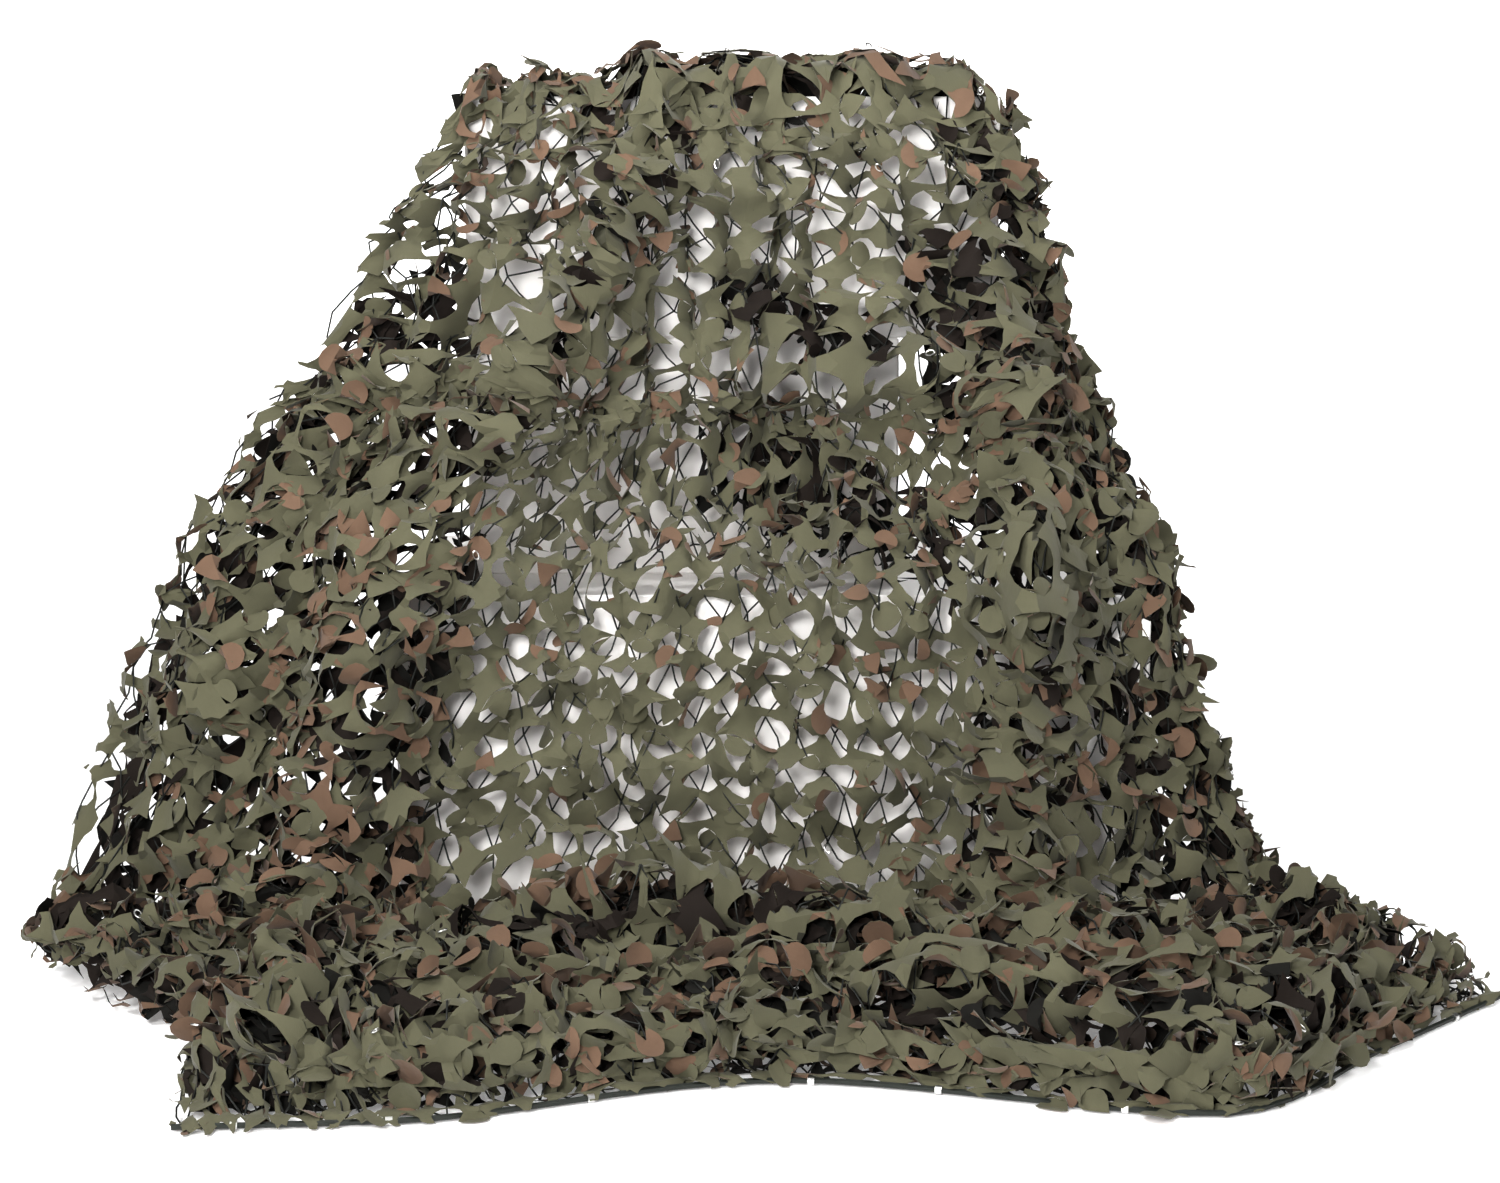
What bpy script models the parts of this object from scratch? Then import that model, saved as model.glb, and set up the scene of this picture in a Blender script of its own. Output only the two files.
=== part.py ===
"""Camouflage net thrown over a stepped display stand of three plain blocks.

Metres, +Z up, +X to the right of someone facing the net's front, +Y away from them.
The net is one sheet. A point on it is named by `across`, its distance from the sheet's
left edge, and by `fall`, its distance down the cloth from the middle of the stand's top:
the front of the net has a positive fall and the back a negative one.
"""
import math
from collections import namedtuple

import bmesh
import bpy
import numpy as np

# ---------------------------------------------------------------- sizes, in metres
SHEET_WIDTH = 2.52
FRONT_LENGTH = 2.96
SHEET_THICKNESS = 0.003
CELL = 0.06                    # the net is laid out in cells of this size
FLOOR_CELL = 0.095             # longer down the cloth where it lies on the floor
CUT_FROM_FALL = 0.38           # the gaps are cut through between these two falls
CUT_TO_FALL = 2.18
GAP_EVERY = 2                  # one cell in this many is a gap, both ways
MOST_GAPS = 300

BLOCK_BEVEL = 0.003
SEAT_GAP = 0.0003              # pieces that touch keep this much between their faces
CLOTH_CLEARANCE = 0.012        # the net's points stay this far off a block's walls
LIE_CLEARANCE = SEAT_GAP + SHEET_THICKNESS / 2      # and this far off the top that they lie on
FLOOR = 0.0

CORD_RADIUS = 0.0045
CORD_SIDES = 6
CLIP_WIDTH = 0.010
CLIP_WALL = 0.0016
CLIP_SWEEP = math.radians(210)
CLIP_STEPS = 8

# ---------------------------------------------------------------- tables
Block = namedtuple("Block", "name left right front back bottom top")
BLOCKS = (
    #     name             left   right  front  back  bottom  top
    Block("stand_base",   -0.575,  0.650, 0.00, 0.76, 0.000, 0.620),
    Block("stand_middle", -0.475,  0.250, 0.24, 0.74, 0.620, 1.020),
    Block("stand_top",    -0.475,  0.415, 0.24, 0.74, 1.020, 1.420),
)

# A row for each level section of the drape, from the back hem over the top to the front hem.
# The sheet passes through six lines in each: its left edge, the spread wing, the middle, the
# right of the front, the turn round the right side, and its right edge. The wing, the middle
# and the right of the front share one height.
Section = namedtuple("Section", (
    "name fall height left_x left_y left_z wing_x wing_y middle_x middle_y "
    "right_x right_y turn_x turn_y turn_z edge_x edge_y edge_z"))
SECTIONS = (
    Section("back_hem",    -1.04, 0.640, -0.440, 0.785, 0.700, -0.30, 0.790, -0.10, 0.800,
            0.08, 0.790, 0.16, 0.785, 0.660, 0.220, 0.780, 0.720),
    Section("back_waist",  -0.66, 0.990, -0.455, 0.775, 0.980, -0.30, 0.780, -0.09, 0.790,
            0.12, 0.780, 0.20, 0.775, 0.980, 0.260, 0.775, 0.980),
    Section("back_edge",   -0.30, 1.370, -0.465, 0.765, 1.360, -0.29, 0.770, -0.04, 0.775,
            0.24, 0.770, 0.35, 0.765, 1.370, 0.430, 0.760, 1.360),
    Section("back_corner", -0.22, 1.434, -0.465, 0.754, 1.434, -0.29, 0.754, -0.04, 0.754,
            0.24, 0.754, 0.35, 0.754, 1.434, 0.440, 0.752, 1.430),
    Section("top_back",    -0.14, 1.414, -0.463, 0.690, 1.426, -0.29, 0.690, -0.03, 0.690,
            0.24, 0.690, 0.36, 0.690, 1.432, 0.440, 0.690, 1.435),
    Section("top_middle",   0.05, 1.406, -0.462, 0.480, 1.424, -0.29, 0.480, -0.03, 0.480,
            0.24, 0.480, 0.37, 0.500, 1.432, 0.445, 0.580, 1.432),
    Section("crown",        0.25, 1.440, -0.464, 0.300, 1.436, -0.29, 0.290, -0.03, 0.290,
            0.25, 0.290, 0.41, 0.290, 1.437, 0.450, 0.500, 1.428),
    Section("front_corner", 0.31, 1.436, -0.478, 0.226, 1.430, -0.29, 0.226, -0.03, 0.228,
            0.27, 0.226, 0.432, 0.258, 1.427, 0.458, 0.490, 1.400),
    Section("brow",         0.38, 1.372, -0.505, 0.215, 1.362, -0.30, 0.205, -0.03, 0.210,
            0.29, 0.205, 0.455, 0.225, 1.360, 0.468, 0.480, 1.340),
    Section("shoulder",     0.60, 1.200, -0.616, 0.260, 1.198, -0.32, 0.180, -0.02, 0.205,
            0.32, 0.185, 0.506, 0.270, 1.200, 0.508, 0.480, 1.180),
    Section("waist",        0.93, 0.920, -0.768, 0.190, 0.920, -0.40, 0.110, -0.02, 0.195,
            0.37, 0.120, 0.566, 0.210, 0.920, 0.585, 0.450, 0.900),
    Section("ledge",        1.30, 0.655, -0.945, 0.110, 0.640, -0.54, -0.030, -0.02, -0.030,
            0.42, -0.040, 0.668, 0.050, 0.680, 0.690, 0.400, 0.680),
    Section("knee",         1.66, 0.340, -1.055, 0.060, 0.340, -0.63, -0.080, -0.02, -0.050,
            0.47, -0.070, 0.735, 0.030, 0.360, 0.785, 0.320, 0.370),
    Section("foot",         2.00, 0.085, -1.185, -0.070, 0.020, -0.69, -0.140, -0.02, -0.130,
            0.54, -0.150, 0.830, -0.010, 0.110, 0.920, 0.270, 0.130),
    Section("apron",        2.22, 0.060, -1.080, -0.180, 0.020, -0.66, -0.260, -0.01, -0.270,
            0.60, -0.320, 0.900, -0.090, 0.080, 1.000, 0.190, 0.080),
    Section("roll",         2.58, 0.055, -0.850, -0.460, 0.030, -0.58, -0.560, 0.02, -0.450,
            0.64, -0.600, 0.930, -0.280, 0.050, 1.100, 0.020, 0.030),
    Section("hem",          2.96, 0.006, -0.795, -0.830, 0.006, -0.48, -0.800, 0.06, -0.620,
            0.65, -0.770, 0.940, -0.470, 0.006, 1.185, -0.190, 0.006),
)
LINES = (0.0, 0.54, 1.20, 1.78, 2.16, 2.52)          # where the six lines run, across the sheet
# Where the rows of cells lie on the back and the top, which stay uncut: close over an edge.
UNCUT_FALLS = (
    -1.04, -0.91, -0.78, -0.66, -0.54, -0.42, -0.30, -0.22,
    -0.14, -0.05, 0.05, 0.15, 0.25, 0.31)

# A row for each placed fold: a ridge along a straight line on the sheet, with its half width
# and its rise off the sheet. A negative rise is a trough.
Fold = namedtuple("Fold", "name across_a fall_a across_b fall_b half_width rise")
FOLDS = (
    #     name            across fall   across fall  half    rise
    Fold("crown_roll",      0.85,  0.22, 1.95,  0.22, 0.16,  0.048),
    Fold("ledge_sag",       0.95,  1.14, 1.68,  1.12, 0.16, -0.060),
    Fold("brow_bunch",      0.92,  0.40, 0.62,  0.78, 0.09,  0.055),
    Fold("diagonal",        0.60,  0.80, 0.42,  1.25, 0.11,  0.065),
    Fold("swag",            1.20,  0.80, 1.74,  0.92, 0.08,  0.050),
    Fold("column_high",     1.84,  0.86, 1.78,  1.35, 0.10,  0.090),
    Fold("column_low",      1.78,  1.35, 1.64,  2.05, 0.11,  0.080),
    Fold("right_lobe",      2.10,  1.00, 2.14,  1.85, 0.09,  0.035),
    Fold("wing_ridge_a",    0.20,  0.95, 0.24,  1.75, 0.09,  0.060),
    Fold("wing_ridge_b",    0.52,  1.30, 0.50,  1.98, 0.10,  0.070),
    Fold("wing_swag",       0.10,  1.55, 0.66,  1.38, 0.08,  0.045),
    Fold("wing_foot",       0.12,  2.02, 0.50,  2.10, 0.11,  0.070),
    Fold("front_roll_a",    0.44,  2.44, 1.05,  2.32, 0.12,  0.070),
    Fold("front_roll_b",    1.05,  2.26, 1.86,  2.36, 0.13,  0.085),
    Fold("front_roll_c",    1.45,  2.64, 2.15,  2.62, 0.11,  0.060),
    Fold("hem_roll",        0.30,  2.80, 1.20,  2.78, 0.07,  0.040),
    Fold("right_heap",      2.10,  2.05, 2.30,  2.45, 0.14,  0.060),
)

# Soft pleats down the net, from its being narrower at the top than it was cut.
Pleat = namedtuple("Pleat", "pitch depth lean start")
PLEATS = (
    Pleat(pitch=0.42, depth=0.020, lean=0.22, start=0.6),
    Pleat(pitch=0.27, depth=0.014, lean=-0.35, start=2.1),
)
PLEAT_WANDER = 0.8             # radians that a pleat strays to the side as it runs down
PLEAT_WANDER_RATE = 2.3        # and how fast it does, in radians to a metre
FOLD_SPREAD = 1.5              # a fold's half width, in spreads of its round top
HEM_TAPER = 0.25               # the folds die out over this much cloth before the front hem

# Where each clip pinches the front hem, across the sheet.
CLIPS = (0.15, 0.51, 0.87, 1.23, 1.41, 1.65, 1.95, 2.37)


# ---------------------------------------------------------------- curves
def smooth_through(stations, values, at):
    """Read values off a smooth curve through the stations that never overshoots them."""
    stations = np.asarray(stations, float)
    values = np.asarray(values, float)
    steps = np.diff(stations)
    slopes = np.diff(values) / steps
    tangents = np.empty_like(values)
    tangents[0] = slopes[0]
    tangents[-1] = slopes[-1]
    before, after = slopes[:-1], slopes[1:]
    product = before * after
    safe = np.where(product > 0, before + after, 1.0)
    tangents[1:-1] = np.where(product > 0, 2 * product / safe, 0.0)
    index = np.clip(np.searchsorted(stations, at, side="right") - 1, 0, len(steps) - 1)
    step = steps[index]
    t = (at - stations[index]) / step
    return ((2 * t ** 3 - 3 * t ** 2 + 1) * values[index]
            + (t ** 3 - 2 * t ** 2 + t) * step * tangents[index]
            + (3 * t ** 2 - 2 * t ** 3) * values[index + 1]
            + (t ** 3 - t ** 2) * step * tangents[index + 1])


def section_lines():
    """The six lines of the drape, as arrays of x, y and z with a value for each section."""
    column = {name: np.array([getattr(s, name) for s in SECTIONS]) for name in Section._fields[1:]}
    height = column["height"]
    return (
        (column["left_x"], column["left_y"], column["left_z"]),
        (column["wing_x"], column["wing_y"], height),
        (column["middle_x"], column["middle_y"], height),
        (column["right_x"], column["right_y"], height),
        (column["turn_x"], column["turn_y"], column["turn_z"]),
        (column["edge_x"], column["edge_y"], column["edge_z"]),
    )


def base_surface(across, fall):
    """The drape without its folds, for a row of `across` values at each of the `fall` values."""
    falls = np.array([s.fall for s in SECTIONS])
    points = np.empty((len(fall), len(across), 3))
    for axis in range(3):
        down = np.stack([smooth_through(falls, line[axis], fall) for line in section_lines()], axis=1)
        for row, knots in enumerate(down):
            points[row, :, axis] = smooth_through(LINES, knots, across)
    return points


def outward(points):
    """Unit normals of a grid of points, on the side that faces away from the stand."""
    down = np.gradient(points, axis=0)
    along = np.gradient(points, axis=1)
    normal = np.cross(down, along)
    return normal / np.maximum(np.linalg.norm(normal, axis=2, keepdims=True), 1e-9)


# ---------------------------------------------------------------- folds
def fold_height(fold, across, fall):
    """The rise of one placed fold: a soft round ridge that fades at both ends."""
    run = np.array([fold.across_b - fold.across_a, fold.fall_b - fold.fall_a])
    length = np.hypot(*run)
    unit = run / length
    away_across = across - fold.across_a
    away_fall = fall - fold.fall_a
    along = away_across * unit[0] + away_fall * unit[1]
    aside = away_fall * unit[0] - away_across * unit[1]
    past_end = np.maximum(np.maximum(-along, along - length), 0.0)
    spread = fold.half_width / FOLD_SPREAD
    return fold.rise * np.exp(-(aside ** 2 + past_end ** 2) / (2 * spread ** 2))


def pleat_height(pleat, across, fall):
    """The rise of one set of pleats, which only ever stand out from the stand."""
    phase = 2 * math.pi * (across + pleat.lean * fall) / pleat.pitch + pleat.start
    wave = np.sin(phase + PLEAT_WANDER * np.sin(PLEAT_WANDER_RATE * fall))
    return pleat.depth * (1 + wave) / 2


def drape(across, fall):
    """Where the net's points lie, for a row of `across` values at each of the `fall` values."""
    points = base_surface(across, fall)
    wide, deep = np.meshgrid(across, fall)
    rise = sum(fold_height(fold, wide, deep) for fold in FOLDS)
    rise = rise + sum(pleat_height(pleat, wide, deep) for pleat in PLEATS)
    at_hem = np.clip((FRONT_LENGTH - deep) / HEM_TAPER, 0.0, 1.0)
    points = points + outward(points) * (rise * at_hem)[..., None]
    return clear_of_stand(points)


def clear_of_stand(points):
    """Move each point that is in a block, or too near its walls, straight out of it."""
    for block in BLOCKS:
        low = np.array([block.left, block.front, block.bottom]) - CLOTH_CLEARANCE
        high = np.array([block.right, block.back, block.top]) + CLOTH_CLEARANCE
        high[2] = block.top + LIE_CLEARANCE
        inside = np.all((points > low) & (points < high), axis=2)
        outs = np.stack([points[..., 0] - low[0], high[0] - points[..., 0],
                         points[..., 1] - low[1], high[1] - points[..., 1],
                         high[2] - points[..., 2]], axis=2)
        nearest = np.argmin(outs, axis=2)
        for side, (axis, wall) in enumerate(((0, low[0]), (0, high[0]), (1, low[1]),
                                             (1, high[1]), (2, high[2]))):
            points[..., axis] = np.where(inside & (nearest == side), wall, points[..., axis])
    return points


# ---------------------------------------------------------------- meshes
def material(name, colour, roughness):
    finish = bpy.data.materials.new(name)
    finish.use_nodes = True
    shader = finish.node_tree.nodes["Principled BSDF"]
    shader.inputs["Base Color"].default_value = (*colour, 1.0)
    shader.inputs["Roughness"].default_value = roughness
    shader.inputs["Metallic"].default_value = 0.0
    return finish


def new_object(name, vertices, faces, finish):
    mesh = bpy.data.meshes.new(name)
    mesh.from_pydata([tuple(v) for v in vertices], [], faces)
    mesh.materials.append(finish)
    mesh.validate()
    piece = bpy.data.objects.new(name, mesh)
    bpy.context.collection.objects.link(piece)
    return piece


def face_outwards(piece, triangles=False):
    """Turn a closed mesh's faces outwards, once its unused points are gone."""
    clean = bmesh.new()
    clean.from_mesh(piece.data)
    if triangles:
        bmesh.ops.triangulate(clean, faces=clean.faces, quad_method="SHORT_EDGE")
    unused = [v for v in clean.verts if not v.link_faces]
    bmesh.ops.delete(clean, geom=unused, context="VERTS")
    bmesh.ops.recalc_face_normals(clean, faces=clean.faces)
    clean.to_mesh(piece.data)
    clean.free()


def make_block(block, finish):
    """One plain block of the stand, with its edges broken."""
    size = (block.right - block.left, block.back - block.front, block.top - block.bottom)
    lift = SEAT_GAP if block.bottom > FLOOR else 0.0
    bpy.ops.mesh.primitive_cube_add(size=1)
    piece = bpy.context.object
    piece.name = block.name
    piece.data.materials.append(finish)
    for vertex in piece.data.vertices:
        vertex.co.x = block.left + (vertex.co.x + 0.5) * size[0]
        vertex.co.y = block.front + (vertex.co.y + 0.5) * size[1]
        vertex.co.z = block.bottom + lift + (vertex.co.z + 0.5) * (size[2] - lift)
    bevel = piece.modifiers.new("Broken edges", "BEVEL")
    bevel.width = BLOCK_BEVEL
    bevel.segments = 1
    return piece


def fall_rows():
    """Where the rows of cells lie: fine where the gaps are cut and over an edge, coarse elsewhere."""
    cut = np.linspace(CUT_FROM_FALL, CUT_TO_FALL, round((CUT_TO_FALL - CUT_FROM_FALL) / CELL) + 1)
    front = np.linspace(CUT_TO_FALL, FRONT_LENGTH, round((FRONT_LENGTH - CUT_TO_FALL) / FLOOR_CELL) + 1)
    return np.concatenate([UNCUT_FALLS, cut, front[1:]])


def gap_cells(across, fall):
    """The cells that are cut away: every second one each way, between the two cut falls."""
    cells = set()
    for row in range(len(fall) - 1):
        if fall[row] < CUT_FROM_FALL or fall[row + 1] > CUT_TO_FALL + 1e-6:
            continue
        if row % GAP_EVERY:
            continue
        for column in range(1, len(across) - 2, GAP_EVERY):
            if len(cells) < MOST_GAPS:
                cells.add((row, column))
    return cells


def sheet_layers(points):
    """The outer and inner skins of the sheet. Both stay on or above the floor."""
    normal = outward(points)
    outer = points + normal * SHEET_THICKNESS / 2
    inner = points - normal * SHEET_THICKNESS / 2
    inner[..., 2] = np.maximum(inner[..., 2], FLOOR)
    outer[..., 2] = np.maximum(outer[..., 2], inner[..., 2] + SHEET_THICKNESS * 0.5)
    outer[..., 2] = np.maximum(outer[..., 2], FLOOR + SHEET_THICKNESS)
    return outer, inner


def make_net(across, fall, points, finish):
    """The sheet as one closed solid: two skins, a rim, and a wall round each gap."""
    outer, inner = sheet_layers(points)
    rows, columns = points.shape[:2]
    vertices = np.concatenate([outer.reshape(-1, 3), inner.reshape(-1, 3)])
    under = rows * columns
    gaps = gap_cells(across, fall)

    def at(row, column):
        return row * columns + column

    faces = []
    for row in range(rows - 1):
        for column in range(columns - 1):
            a, b = at(row, column), at(row, column + 1)
            c, d = at(row + 1, column + 1), at(row + 1, column)
            if (row, column) in gaps:
                for start, end in ((a, b), (b, c), (c, d), (d, a)):
                    faces.append((start, end, end + under, start + under))
                continue
            faces.append((a, d, c, b))
            faces.append((a + under, b + under, c + under, d + under))
    rim = [at(0, c) for c in range(columns)]
    rim += [at(r, columns - 1) for r in range(1, rows)]
    rim += [at(rows - 1, c) for c in range(columns - 2, -1, -1)]
    rim += [at(r, 0) for r in range(rows - 2, 0, -1)]
    for start, end in zip(rim, rim[1:] + rim[:1]):
        faces.append((start, end, end + under, start + under))
    face_outwards(new_object("net", vertices, faces, finish), triangles=True)


def cord_path(points):
    """The middle of the edge cord, which lies on the floor just past the front hem."""
    outer, inner = sheet_layers(points)
    hem = (outer[-1] + inner[-1]) / 2
    along = np.gradient(hem, axis=0)
    out = np.stack([along[:, 1], -along[:, 0], np.zeros(len(hem))], axis=1)
    out /= np.linalg.norm(out, axis=1, keepdims=True)
    to_flat = CORD_RADIUS * math.cos(math.pi / CORD_SIDES)
    centre = hem + out * (to_flat + SHEET_THICKNESS / 2 + SEAT_GAP)
    lowest = FLOOR + CORD_RADIUS + CLIP_WALL + SEAT_GAP * 3
    centre[:, 2] = np.maximum(hem[:, 2], lowest)
    return centre


def tube(centre, radius, sides):
    """Vertices and faces of a round tube with flat ends, along a row of points."""
    ahead = np.gradient(centre, axis=0)
    ahead /= np.linalg.norm(ahead, axis=1, keepdims=True)
    up = np.tile((0.0, 0.0, 1.0), (len(centre), 1))
    aside = np.cross(ahead, up)
    aside /= np.linalg.norm(aside, axis=1, keepdims=True)
    up = np.cross(aside, ahead)
    vertices = []
    for k in range(sides):
        turn = 2 * math.pi * (k + 0.5) / sides
        vertices.append(centre + radius * (math.cos(turn) * aside + math.sin(turn) * up))
    vertices = np.stack(vertices, axis=1).reshape(-1, 3)
    faces = []
    for i in range(len(centre) - 1):
        for k in range(sides):
            here, there = i * sides + k, i * sides + (k + 1) % sides
            faces.append((here, there, there + sides, here + sides))
    last = (len(centre) - 1) * sides
    faces.append(tuple(range(sides - 1, -1, -1)))
    faces.append(tuple(last + k for k in range(sides)))
    return vertices, faces


def make_edge_cord(centre, finish):
    vertices, faces = tube(centre, CORD_RADIUS, CORD_SIDES)
    face_outwards(new_object("edge_cord", vertices, faces, finish))


def make_clip(name, centre, across, place, finish):
    """A bent metal clip that hugs the far side of the edge cord, halfway between two points."""
    index = int(np.searchsorted(across, place)) - 1
    middle = (centre[index] + centre[index + 1]) / 2
    ahead = centre[index + 1] - centre[index]
    ahead /= np.linalg.norm(ahead)
    aside = np.cross(ahead, (0.0, 0.0, 1.0))
    aside /= np.linalg.norm(aside)
    up = np.cross(aside, ahead)
    inner = CORD_RADIUS + SEAT_GAP
    vertices = []
    for step in range(CLIP_STEPS + 1):
        turn = (step / CLIP_STEPS - 0.5) * CLIP_SWEEP
        way = math.cos(turn) * aside + math.sin(turn) * up
        for radius in (inner, inner + CLIP_WALL):
            for side in (-0.5, 0.5):
                vertices.append(middle + way * radius + ahead * side * CLIP_WIDTH)
    faces = []
    for step in range(CLIP_STEPS):
        a = step * 4
        ring = (a, a + 1, a + 3, a + 2)
        for start, end in zip(ring, ring[1:] + ring[:1]):
            faces.append((start, end, end + 4, start + 4))
    faces.append((0, 2, 3, 1))
    last = CLIP_STEPS * 4
    faces.append((last, last + 1, last + 3, last + 2))
    face_outwards(new_object(name, vertices, faces, finish))


def centre_over_origin():
    """Put the middle of the whole thing's footprint on the origin. Its base is at zero already."""
    bpy.context.view_layer.update()
    pieces = [thing for thing in bpy.data.objects if thing.type == "MESH"]
    corners = np.array([tuple(v.co) for piece in pieces for v in piece.data.vertices])
    middle = (corners.min(axis=0) + corners.max(axis=0)) / 2
    for piece in pieces:
        for vertex in piece.data.vertices:
            vertex.co.x -= middle[0]
            vertex.co.y -= middle[1]


def main():
    for thing in list(bpy.data.objects):
        bpy.data.objects.remove(thing, do_unlink=True)
    white = material("painted white", (0.80, 0.79, 0.78), 0.6)
    olive = material("olive leaf-cut cloth", (0.16, 0.17, 0.09), 0.9)
    dark = material("dark green cord", (0.02, 0.03, 0.02), 0.8)
    steel = material("zinc-plated clip", (0.60, 0.60, 0.58), 0.35)
    for block in BLOCKS:
        make_block(block, white)
    across = np.linspace(0.0, SHEET_WIDTH, round(SHEET_WIDTH / CELL) + 1)
    fall = fall_rows()
    points = drape(across, fall)
    make_net(across, fall, points, olive)
    centre = cord_path(points)
    make_edge_cord(centre, dark)
    for number, place in enumerate(CLIPS, start=1):
        make_clip(f"clip_{number:02d}", centre, across, place, steel)
    centre_over_origin()


main()
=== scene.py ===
import math

import bpy
import numpy as np
from mathutils import Matrix, Vector


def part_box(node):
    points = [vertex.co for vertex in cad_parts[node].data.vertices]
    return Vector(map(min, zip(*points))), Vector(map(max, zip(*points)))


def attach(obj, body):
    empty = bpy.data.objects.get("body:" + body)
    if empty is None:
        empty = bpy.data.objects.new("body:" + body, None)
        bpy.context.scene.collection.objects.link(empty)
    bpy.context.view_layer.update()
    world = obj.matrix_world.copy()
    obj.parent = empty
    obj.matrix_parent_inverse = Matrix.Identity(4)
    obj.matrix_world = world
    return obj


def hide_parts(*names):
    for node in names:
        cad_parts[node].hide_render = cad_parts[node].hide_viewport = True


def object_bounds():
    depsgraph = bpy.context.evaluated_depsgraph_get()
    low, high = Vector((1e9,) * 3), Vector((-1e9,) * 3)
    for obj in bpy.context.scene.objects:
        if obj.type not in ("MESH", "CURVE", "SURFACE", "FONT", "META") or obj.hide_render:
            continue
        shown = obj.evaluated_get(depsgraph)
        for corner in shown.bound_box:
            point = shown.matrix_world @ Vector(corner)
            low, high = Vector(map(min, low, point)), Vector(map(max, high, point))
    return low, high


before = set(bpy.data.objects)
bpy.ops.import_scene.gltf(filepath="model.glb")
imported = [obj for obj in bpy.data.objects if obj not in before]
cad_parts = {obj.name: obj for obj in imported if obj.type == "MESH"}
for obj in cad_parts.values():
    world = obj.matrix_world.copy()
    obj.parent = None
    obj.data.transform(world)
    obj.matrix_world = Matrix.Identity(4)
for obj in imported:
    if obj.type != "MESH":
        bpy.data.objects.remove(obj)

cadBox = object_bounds()

# the part's frame, measured from the left, front foot of the stand's lowest block
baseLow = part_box("stand_base")[0]
frameShift = np.array([baseLow[0] + 0.575, baseLow[1], 0.0])

standBlocks = ("stand_base", "stand_middle", "stand_top")


def ramp(value):
    # 0 up to 0, then the value itself, and 1 from 1 on
    return np.clip(value, 0.0, 1.0)


def pick(objects):
    # these are selected and nothing else, and the first of them is active
    bpy.ops.object.select_all(action="DESELECT")
    for picked in reversed(objects):
        picked.select_set(True)
        bpy.context.view_layer.objects.active = picked


def addObject(name, data):
    placed = bpy.data.objects.new(name, data)
    bpy.context.collection.objects.link(placed)
    return placed


def hexToLinear(text):
    # colours are written as sRGB hex and the shader wants linear numbers
    parts = [int(text[i:i + 2], 16) / 255 for i in (1, 3, 5)]
    return tuple(c / 12.92 if c <= 0.04045 else ((c + 0.055) / 1.055) ** 2.4 for c in parts) + (1.0,)


def startMaterial(name, settings):
    material = bpy.data.materials.new(name)
    material.use_nodes = True
    shader = material.node_tree.nodes["Principled BSDF"]
    for key, value in settings.items():
        shader.inputs[key].default_value = value
    return material, material.node_tree, shader


def addNode(tree, kind, settings=None, links=None):
    # one node with its settings, socket values and incoming links
    node = tree.nodes.new(kind)
    for key, value in (settings or {}).items():
        if isinstance(key, int) or key in node.inputs:
            node.inputs[key].default_value = value
        else:
            setattr(node, key, value)
    for key, source in (links or {}).items():
        tree.links.new(source, node.inputs[key])
    return node


def newPiece(name, vertices, faces, materials, sheetPlace=None):
    # a mesh from points and faces, with the place on the flat sheet as its UV map
    mesh = bpy.data.meshes.new(name)
    mesh.from_pydata([tuple(point) for point in vertices], [], [tuple(face) for face in faces])
    for material in materials:
        mesh.materials.append(material)
    if sheetPlace is not None:
        uv = mesh.uv_layers.new(name="sheetPlace")
        corners = np.empty(len(mesh.loops), dtype=np.int32)
        mesh.loops.foreach_get("vertex_index", corners)
        uv.data.foreach_set("uv", np.asarray(sheetPlace, float)[corners].ravel())
    mesh.polygons.foreach_set("use_smooth", [True] * len(mesh.polygons))
    mesh.update()
    return addObject(name, mesh)


# camera, floor and light
studio = {
    "cameraPlace": (0.0, -4.8, 1.34),  # metres, from the stand's foot
    "cameraTilt": 81.54,    # degrees up from straight down
    "lens": 72.0,
    "exposure": 0.40,
    "gamma": 0.84,          # a firmer print, with deeper gaps
    "paperColour": "#F6F6F6",
    "floorSize": 140.0,
    "floorGlow": 0.20,      # painted glow: the floor gives off a little light of its own
    "farFloorGlow": 1.0,    # and more so away from the object, also painted glow
    "glowGrows": (2.2, 7.0),  # metres from it, between which the one turns into the other
    "backdropSize": 52.0,
    "backdropPlace": (0.0, 14.0, 9.3),
    "backdropGlow": 0.90,
    "worldColour": "#FFFFFF",
    "worldStrength": 0.03,
    # each light: its place, what it is aimed at, its two sides and its watts
    "softBoxes": {
        "keySoftBox": ((-1.0, -4.7, 2.2), (0.0, 0.0, 0.8), (1.1, 1.1), 178.0),
        "sideSoftBox": ((-2.6, -3.2, 3.5), (0.2, 0.0, 0.6), (0.9, 0.9), 128.0),
        "topSoftBox": ((-0.2, -0.8, 3.5), (0.0, 0.0, 0.6), (2.0, 1.4), 58.0),
        "rightSoftBox": ((3.4, -1.8, 2.4), (0.4, 0.0, 0.6), (1.2, 1.2), 60.0),
        "backSoftBox": ((0.8, 4.6, 2.8), (0.0, 0.6, 0.6), (1.6, 1.6), 80.0),
    },
}
bpy.context.scene.view_settings.view_transform = "Standard"
bpy.context.scene.view_settings.exposure = studio["exposure"]
bpy.context.scene.view_settings.gamma = studio["gamma"]


def makeCamera():
    data = bpy.data.cameras.new("studioCamera")
    data.sensor_width = 36.0
    data.sensor_fit = "HORIZONTAL"
    data.lens = studio["lens"]
    data.clip_end = 150.0
    camera = addObject("studioCamera", data)
    camera.location = np.array(studio["cameraPlace"]) + frameShift
    camera.rotation_euler = (math.radians(studio["cameraTilt"]), 0.0, 0.0)
    bpy.context.scene.camera = camera


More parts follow.
